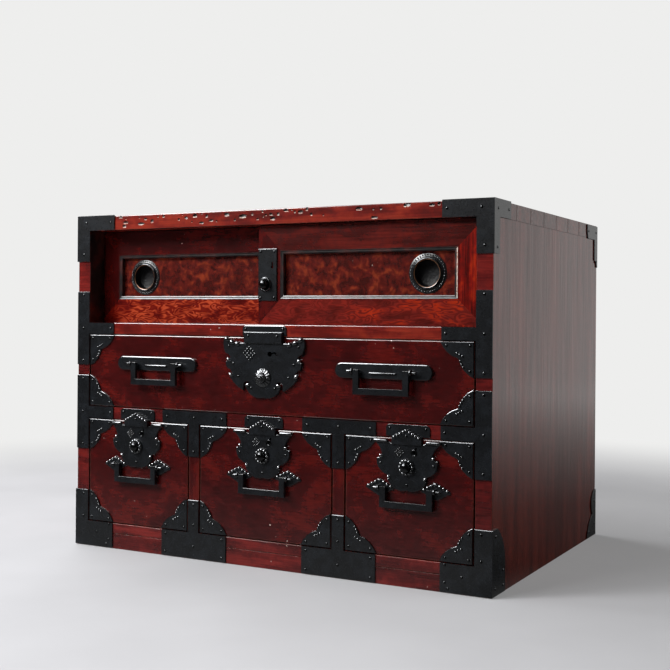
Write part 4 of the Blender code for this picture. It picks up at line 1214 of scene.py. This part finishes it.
class CHEST_OT_large_lock(bpy.types.Operator):
    """Horned lock of the long drawer, with its strap, lattice, collar and fluted button"""

    bl_idname = "chest.large_lock"
    bl_label = "Large Lock"

    # Places on the plate: heights of the button and of the keyhole's row, keyhole and lattice across
    BUTTON = -51 * MM
    ROW = -21 * MM
    KEYHOLE = 9.5 * MM
    LATTICE = -20 * MM

    # Right half of the strap, with its bowed teeth, in millimetres
    STRAP = ((0, 6), (28, 6), *((28 - 5.6 * i, -8, 1.2) for i in range(5)), (0, -8))

    # Right half's domes on the horns and on the plate, with their tilt, and nails, in millimetres
    HORN_DOMES = ((53.5, -3.6, 0.5), (46, -7.2, 0.35), (38, -9.2, 0.2))
    PLATE_DOMES = ((51, -29.2, 0.5), (47.5, -48.2, 0.5), (22.5, -60.2, -0.2))
    NAILS = ((51, -12), (44, -34), (36.5, -50), (17, -64))

    def execute(self, context):
        level = LARGE_TOP
        place = (0, LOCK_FACE, level + self.BUTTON)
        hole = keyhole(HOOK_KEYHOLE, self.KEYHOLE, level + self.ROW, *THROUGH)
        mesh = lock_plate("large", LARGE_LOCK, place, level, hole)
        top = LOCK_FACE - STRAP_RISE
        merge(mesh, plate(both_sides(in_mm(self.STRAP), 0, level), FRONT, top, 1 * MM, 3))
        for side in (-1, 1):
            nails(mesh, [(side * 21 * MM, top, level + 1 * MM)])
            tilted(mesh, self.HORN_DOMES, (4.4, 3, 2.8), 0, level, side, BRIGHT)
            tilted(mesh, self.PLATE_DOMES, (3.8, 2.2, 2.2), 0, level, side)
            nails(mesh, spots(self.NAILS, LOCK_FACE, 0, level, side))
        lattice(mesh, self.LATTICE, level + self.ROW, 3.8 * MM, 0.35)
        merge(mesh, self.fluted(LARGE_COLLAR, place, 0.9))
        iron("large_lock_plate_forged", mesh, "large_drawer", "large_lock_plate")
        rayed = self.fluted(LARGE_TIP + LARGE_SKIRT, place, 3.5, 2.3)
        iron("large_lock_knob", rayed, "large_button", "large_lock_button")
        return {"FINISHED"}

    def fluted(self, profile, place, above, beyond=0):
        """A turned shape in millimetres with rays cut in it, above a height and beyond a radius."""
        mesh = turned(in_mm(profile), place, steps=8 * RAYS)
        for vertex in mesh.verts:
            arm = vertex.co - Vector(place)
            reach = math.hypot(arm.x, arm.z)
            if -arm.y > above * MM and reach > beyond * MM:
                vertex.co.y += 0.3 * MM * (1 - math.cos(RAYS * math.atan2(arm.x, arm.z)))
        return mark_worn(mesh, 0.4)


def lock_plate(word, half, button, level, hole):
    """A lock's plate with its keyhole and the bore of its button, and the case behind it."""
    mesh = plate(both_sides(in_mm(half), button[0], level), FRONT, LOCK_FACE, 0.4 * MM)
    mesh = carve(mesh, hole, rod_cutter(button[0], button[2], *THROUGH))
    return merge(mesh, lock_case(word))


def tilted(mesh, domes, reach, centre, level, side, worn=1):
    """Tilted domes on one side of a lock, with their places and reach in millimetres."""
    across, up, out = (each * MM for each in reach)
    for u, v, tilt in domes:
        spot = (centre + side * u * MM, LOCK_FACE, level + v * MM)
        dome(mesh, spot, across, up, out, side * tilt, worn=worn)


def lock_case(word):
    """The lock's case behind its plate, with the bore of its button."""
    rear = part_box(f"{word}_lock_plate")[1].y
    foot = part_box(f"{word}_lock_button")[0].z
    middle = middle_of(f"{word}_lock_button")
    half, below, above = 17 * MM, 4 * MM, 42 * MM
    low = (middle.x - half, FRONT + CLEAR, foot - below)
    high = (middle.x + half, rear, foot + above)
    bore = rod_cutter(middle.x, middle.z, LOCK_FACE, LOCK_FACE + 14 * MM)
    return carve(block(low, high), bore)


def lattice(mesh, u, v, pitch, worn, count=4):
    """A diamond of beads."""
    bead = pitch * 0.42
    for i in range(count):
        for j in range(count):
            across = (i - j) * pitch / math.sqrt(2)
            up = (i + j - count + 1) * pitch / math.sqrt(2)
            dome(mesh, (u + across, LOCK_FACE, v + up), bead, bead, 1.5 * MM, worn=worn, steps=10)


class CHEST_OT_small_locks(bpy.types.Operator):
    """Heart-shaped locks of the short drawers, with beaded crowns and collars"""

    bl_idname = "chest.small_locks"
    bl_label = "Small Locks"

    # Places on the plate: heights of the button and of the keyhole's row, keyhole and lattice across
    BUTTON = -34 * MM
    ROW = -17 * MM
    KEYHOLE = 9 * MM
    LATTICE = -9 * MM

    # Crown: its peak, half width and foot; beads on its edge and on the collar
    PEAK = 10 * MM
    CROWN_HALF = 19 * MM
    CROWN_FOOT = -8 * MM
    CROWN_BEADS = 5
    COLLAR_BEADS = 12

    # Right half's domes on the plate, with their tilt, ends of its rod, and its nail, in millimetres
    PLATE_DOMES = ((33, -22.4, 0.6), (23, -46.6, 0.6))
    ROD = ((26, -4.6), (41, -4.6))
    NAILS = ((33.5, -31),)

    def execute(self, context):
        for word in ("left", "middle", "right"):
            self.lock(word, drawer_middle(word))
        return {"FINISHED"}

    def lock(self, word, centre):
        """One short drawer's lock and its button."""
        level = SMALL_TOP
        place = (centre, LOCK_FACE, level + self.BUTTON)
        slot = (centre + self.KEYHOLE, level + self.ROW)
        hole = keyhole(SLOT_KEYHOLE, *slot, *THROUGH, math.radians(-30))
        mesh = lock_plate(word, SMALL_LOCK, place, level, hole)
        self.crown(mesh, centre, level)
        for side in (-1, 1):
            merge(mesh, rod(*spots(self.ROD, LOCK_FACE, centre, level, side), 2.2 * MM))
            tilted(mesh, self.PLATE_DOMES, (3, 1.8, 2), centre, level, side)
            nails(mesh, spots(self.NAILS, LOCK_FACE, centre, level, side))
        lattice(mesh, centre + self.LATTICE, level + self.ROW, 2.4 * MM, 0.6)
        ringed = turned(in_mm(KEYHOLE_RING), (slot[0], LOCK_FACE, slot[1]), steps=32)
        merge(mesh, mark_worn(ringed, 0.15), turned(in_mm(SMALL_COLLAR), place))
        for i in range(self.COLLAR_BEADS):
            turn = math.tau * i / self.COLLAR_BEADS
            out = Vector((math.sin(turn), 0, math.cos(turn)))
            spot = Vector((centre, LOCK_FACE - 2.4 * MM, place[2])) + out * 8.4 * MM
            dome(mesh, spot, 2 * MM, 2 * MM, 1.2 * MM, 0, FRONTWARD + 0.7 * out, 0.6)
        iron(f"{word}_lock_plate_forged", mesh, f"{word}_drawer", f"{word}_lock_plate")
        iron(f"{word}_lock_knob", knob(9, place), f"{word}_button", f"{word}_lock_button")

    def crown(self, mesh, centre, level):
        """The pointed crown over a lock, with a beaded edge."""
        half = beaded((0, self.PEAK), (self.CROWN_HALF, 0), self.CROWN_BEADS, 0.9 * MM)
        half += [(self.CROWN_HALF, 0), (self.CROWN_HALF, self.CROWN_FOOT), (0, self.CROWN_FOOT)]
        top = LOCK_FACE - STRAP_RISE
        merge(mesh, plate(both_sides(half, centre, level), FRONT - 1.6 * MM, top, 0.2 * MM))
        nails(mesh, [(centre, top, level + 2 * MM), (centre, LOCK_FACE, level - 55 * MM)])
        for side in (-1, 1):
            for i in range(self.CROWN_BEADS):
                along = i / 4.6
                spot = (centre + side * 18 * MM * along, top, level + (8.6 - 9.2 * along) * MM)
                dome(mesh, spot, 1.8 * MM, 1.8 * MM, 1.8 * MM)


class CHEST_OT_handles(bpy.types.Operator):
    """Bails with their eyes, on long plates or on beaded lozenges"""

    bl_idname = "chest.handles"
    bl_label = "Handles"

    # Lozenges: half width, half height and bows on each edge, and a bead's radius and height
    WIDE = 18.5 * MM
    TALL = 9.7 * MM
    BOWS = 4
    BEAD = 1.9 * MM
    BEAD_RISE = 1.8 * MM

    # Long plates: their face, the half length of the stop bar and the place of the eyes
    LONG_FACE = FRONT - 3.8 * MM
    BAR_HALF = 16.7 * MM
    EYES_AT = 38.1 * MM

    def execute(self, context):
        for word in ("large_left", "large_right"):
            self.long_plate(word)
            self.bail(f"{word}_bail", f"{word}_handle")
        for word in ("left", "middle", "right"):
            for hand in ("left", "right"):
                self.lozenge(word, f"{word}_{hand}_lozenge")
            self.bail(f"{word}_bail", f"{word}_handle")
        return {"FINISHED"}

    def pivot(self, bail):
        """The line that a bail turns on: its middle along X, its depth and its height."""
        middle = middle_of(bail)
        return Vector((middle.x, middle.y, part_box(bail)[1].z - BAIL_HEAD))

    def bail(self, node, body):
        """A square-section bail with softened edges, and round pins that turn in the eyes."""
        low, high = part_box(node)
        pivot = self.pivot(node)
        half = (high.x - low.x) / 2 - PIN_LENGTH
        mesh = copy_of(node)
        for hand in (-1, 1):
            trim(mesh, (pivot.x + hand * half, 0, 0), (hand, 0, 0))
        mark_worn(soften(mesh, 0.4 * MM), 0)
        for hand in (-1, 1):
            start = pivot + Vector((hand * (half - 1 * MM), 0, 0))
            end = pivot + Vector((hand * (half + PIN_LENGTH - PIN_RADIUS), 0, 0))
            merge(mesh, rod(start, end, PIN_RADIUS))
        iron(f"{node}_forged", mesh, body, node)

    def eye(self, mesh, place, rear):
        """The ring that a pin turns in, on its neck."""
        x, y, z = place
        low_half = [(radius, -height) for radius, height in reversed(EYE_HALF)]
        profile = in_mm([*low_half, *EYE_HALF, low_half[0]])
        merge(mesh, mark_worn(turned(profile, place, (1, 0, 0), 32), TOUCHED))
        wide, tall = 1.4 * MM, 2.4 * MM
        neck = block((x - wide, y + 2.4 * MM, z - tall), (x + wide, rear, z + tall))
        merge(mesh, soften(neck, 0.3 * MM))

    def long_plate(self, word):
        """A long plate with a rolled edge and rounded ends, two eyes and a stop bar."""
        node = f"{word}_handle_plate"
        low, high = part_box(node)
        pivot = self.pivot(f"{word}_bail")
        centre = (low.x + high.x) / 2
        half = (high.x - low.x) / 2
        rise = (high.z - low.z) / 2
        face = self.LONG_FACE
        right = [(0, rise), (half - rise, rise, rise * 0.999), (half - rise, -rise), (0, -rise)]
        outline = both_sides(right, centre, (low.z + high.z) / 2)
        mesh = plate(outline, FRONT - CLEAR, face, 0.9 * MM)
        bar = [(centre + hand * self.BAR_HALF, face - 0.7 * MM, pivot.z - 2 * MM) for hand in (-1, 1)]
        merge(mesh, rod(*bar, 1.3 * MM))
        for hand in (-1, 1):
            self.eye(mesh, (centre + hand * self.EYES_AT, pivot.y, pivot.z), face + 0.5 * MM)
        iron(f"{node}_forged", mesh, "large_drawer", node)

    def lozenge(self, word, node):
        """A lozenge plate with a beaded upper edge and one eye."""
        low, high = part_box(node)
        pivot = self.pivot(f"{word}_bail")
        centre = (low.x + high.x) / 2
        wide, tall = self.WIDE, self.TALL
        upper = beaded((0, tall), (wide, 0), self.BOWS, 0.9 * MM)
        lower = beaded((wide, 0), (0, -tall), self.BOWS, 0.9 * MM)
        outline = both_sides(upper + lower + [(0, -tall)], centre, pivot.z)
        mesh = plate(outline, FRONT - CLEAR, PLATE_FACE, 0.5 * MM)
        beads = [(centre, PLATE_FACE, pivot.z + tall - 1.2 * MM)]
        for hand in (-1, 1):
            for i in range(1, self.BOWS):
                along = i / self.BOWS + 0.03
                up = tall * (1 - along) - 0.5 * MM
                beads.append((centre + hand * wide * along, PLATE_FACE, pivot.z + up))
        for spot in beads:
            dome(mesh, spot, self.BEAD, self.BEAD, self.BEAD_RISE)
        self.eye(mesh, (centre, pivot.y, pivot.z), PLATE_FACE + 0.5 * MM)
        iron(f"{node}_forged", mesh, f"{word}_drawer", node)


class CHEST_OT_stage(bpy.types.Operator):
    """Pale floor, soft light and the camera"""

    bl_idname = "chest.stage"
    bl_label = "Stage"

    # Camera at the photograph's viewing angle: millimetres of lens and sensor, shift, turns in
    # degrees and place, measured in depth from the chest's front
    LENS = 60.03
    SENSOR = 36
    SHIFT = -0.0299
    YAW = 28.34
    ROLL = 0.406
    STAND = (0.7366, FRONT - 1.1817, 0.3158)

    # Soft lamps: place, target, size and power in watts
    LAMPS = {
        "key_softbox": ((-1.3, -1.5, 1.55), (0, -0.2, 0.25), (0.9, 0.9), 57),
        "edge_softbox": ((-0.44, -1.6, 1.42), (0.28, -0.2, 0.25), (0.3, 0.8), 8),
        "overhead_softbox": ((-1.1, 0.2, 1.9), (0, 0, 0.25), (0.8, 1.6), 36),
        "side_fill": ((2.0, 0.4, 0.9), (0.3, 0, 0.25), (0.8, 0.8), 10),
    }

    def execute(self, context):
        context.scene.view_settings.view_transform = "Standard"
        self.camera(context.scene)
        self.floor(context.scene)
        self.world(context.scene)
        for name, settings in self.LAMPS.items():
            self.lamp(context.scene, name, *settings)
        return {"FINISHED"}

    def camera(self, scene):
        """The camera, level apart from a slight roll."""
        data = bpy.data.cameras.new("camera")
        data.sensor_width = self.SENSOR
        data.lens = self.LENS
        data.shift_y = self.SHIFT
        made = bpy.data.objects.new("camera", data)
        yaw = math.radians(self.YAW)
        roll = math.radians(self.ROLL)
        right = Vector((math.cos(yaw), math.sin(yaw), 0))
        forward = Vector((-math.sin(yaw), math.cos(yaw), 0))
        across = math.cos(roll) * right + math.sin(roll) * UPWARD
        up = -math.sin(roll) * right + math.cos(roll) * UPWARD
        turn = Matrix((across, up, -forward)).transposed().to_4x4()
        made.matrix_world = Matrix.Translation(self.STAND) @ turn
        scene.collection.objects.link(made)
        scene.camera = made

    def floor(self, scene):
        """A wide pale floor that keeps the shadow and fades into the background."""
        mesh = bmesh.new()
        bmesh.ops.create_circle(mesh, cap_ends=True, segments=96, radius=4)
        bmesh.ops.translate(mesh, verts=mesh.verts, vec=(0, 0, -0.2 * MM))
        data = bpy.data.meshes.new("floor")
        mesh.to_mesh(data)
        mesh.free()
        made = bpy.data.objects.new("floor", data)
        scene.collection.objects.link(made)
        data.materials.append(self.floor_paint())

    def floor_paint(self):
        """Pale paint with soft clouds. The camera sees it fade to white far off, and gloss mirrors it
        bright behind the chest and far off, dim in front and beside."""
        paint, put, shader, place = new_finish("pale_floor")
        cloud = put("TexNoise", {0: place, "Scale": per_mm(220)[0], "Detail": 3})
        tone = put("Mix", {0: cloud, 6: colours().floor, 7: colours().floor_pale}, **BLEND)
        wire(shader, {"Base Color": tone, "Roughness": 0.6})
        rays = put("LightPath", []).node.outputs
        camera = rays["Is Camera Ray"]
        reach = put("VectorMath", [place], 1, operation="LENGTH")
        far = put("MapRange", [reach, 0.7, 1.5, 0.18, 1], **SMOOTH)
        either = [rays["Is Glossy Ray"], rays["Is Transmission Ray"]]
        mirrored = put("Math", either, operation="MAXIMUM")
        faded = put("Math", [far, camera], operation="MULTIPLY")
        fade = put("Math", [faded, mirrored], operation="MAXIMUM")
        axes = put("SeparateXYZ", [place]).node.outputs
        behind = put("MapRange", [axes["Y"], -0.2, 0.4, 0.1, 1])
        away = put("MapRange", [reach, 0.6, 3, 0.06, 0.62])
        near = put("MapRange", [axes["Y"], -1.0, -0.35, 0.0, 0.2])
        before = put("MapRange", [axes["Y"], -0.2, 0.0, 1.0, 0.0])
        beside = put("MapRange", [axes["X"], 0.24, 0.34, 1.0, 0.0])
        veil = put("Math", [near, before], operation="MULTIPLY")
        veil = put("Math", [veil, beside], operation="MULTIPLY")
        dim = put("Math", [behind, away, veil], operation="MULTIPLY_ADD")
        strength = put("Mix", {0: camera, 2: dim, 3: 1.0})
        glow = put("Emission", [colours().backdrop, strength])
        mixed = put("MixShader", [fade, shader.outputs[0], glow])
        wire(paint.node_tree.nodes["Material Output"], {"Surface": mixed})
        return paint

    def world(self, scene):
        """Soft even light from all round, with a pale side behind on the right for reflections."""
        made = bpy.data.worlds.new("studio")
        made.use_nodes = True
        scene.world = made
        put = partial(add, made.node_tree)
        rays = put("LightPath", []).node.outputs
        axes = put("SeparateXYZ", [put("TexCoord", [], 0)]).node.outputs
        rearward = put("MapRange", [axes["Y"], -0.25, 0.35])
        rightward = put("MapRange", [axes["X"], -0.1, 0.2])
        pale = put("Math", [rearward, rightward], operation="MULTIPLY")
        mirrored = put("MapRange", {0: pale, 3: 0.02, 4: 0.57})
        glossy = put("Mix", {0: rays["Is Glossy Ray"], 2: 0.1, 3: mirrored})
        through = [rays["Is Camera Ray"], rays["Is Transmission Ray"]]
        straight = put("Math", through, operation="MAXIMUM")
        shown = put("Mix", {0: straight, 2: glossy, 3: 1.0})
        wire(made.node_tree.nodes["Background"], {"Color": colours().backdrop, "Strength": shown})

    def lamp(self, scene, name, place, target, size, power):
        """A rectangular soft lamp aimed at a target."""
        data = bpy.data.lights.new(name, "AREA")
        data.shape = "RECTANGLE"
        data.size, data.size_y = size
        data.energy = power
        made = bpy.data.objects.new(name, data)
        made.matrix_world = aimed(place, Vector(place) - Vector(target))
        scene.collection.objects.link(made)


class CHEST_PT_panel(bpy.types.Panel):
    """The chest's sizes, colours and operators"""

    bl_idname = "CHEST_PT_panel"
    bl_label = "Tansu Sea Chest"
    bl_space_type = "VIEW_3D"
    bl_region_type = "UI"
    bl_category = "Chest"

    def draw(self, context):
        for group in (context.scene.chest_sizes, context.scene.chest_colours):
            column = self.layout.column()
            for name in group.__annotations__:
                column.prop(group, name)
        column = self.layout.column()
        for operator in OPERATORS:
            column.operator(operator.bl_idname)


OPERATORS = (
    CHEST_OT_boards,
    CHEST_OT_frame_irons,
    CHEST_OT_doors,
    CHEST_OT_drawers,
    CHEST_OT_large_lock,
    CHEST_OT_small_locks,
    CHEST_OT_handles,
    CHEST_OT_stage,
)
CLASSES = (ChestColours, ChestSizes, *OPERATORS, CHEST_PT_panel)


def register():
    """Register the classes and hang the properties on the scene."""
    for each in CLASSES:
        bpy.utils.register_class(each)
    bpy.types.Scene.chest_colours = PointerProperty(type=ChestColours)
    bpy.types.Scene.chest_sizes = PointerProperty(type=ChestSizes)


def unregister():
    """Take the properties and the classes away again."""
    del bpy.types.Scene.chest_sizes
    del bpy.types.Scene.chest_colours
    for each in reversed(CLASSES):
        bpy.utils.unregister_class(each)


def main():
    """Make every piece and the stage."""
    register()
    bpy.ops.chest.boards()
    bpy.ops.chest.frame_irons()
    bpy.ops.chest.doors()
    bpy.ops.chest.drawers()
    bpy.ops.chest.large_lock()
    bpy.ops.chest.small_locks()
    bpy.ops.chest.handles()
    bpy.ops.chest.stage()


if __name__ == "__main__":
    main()
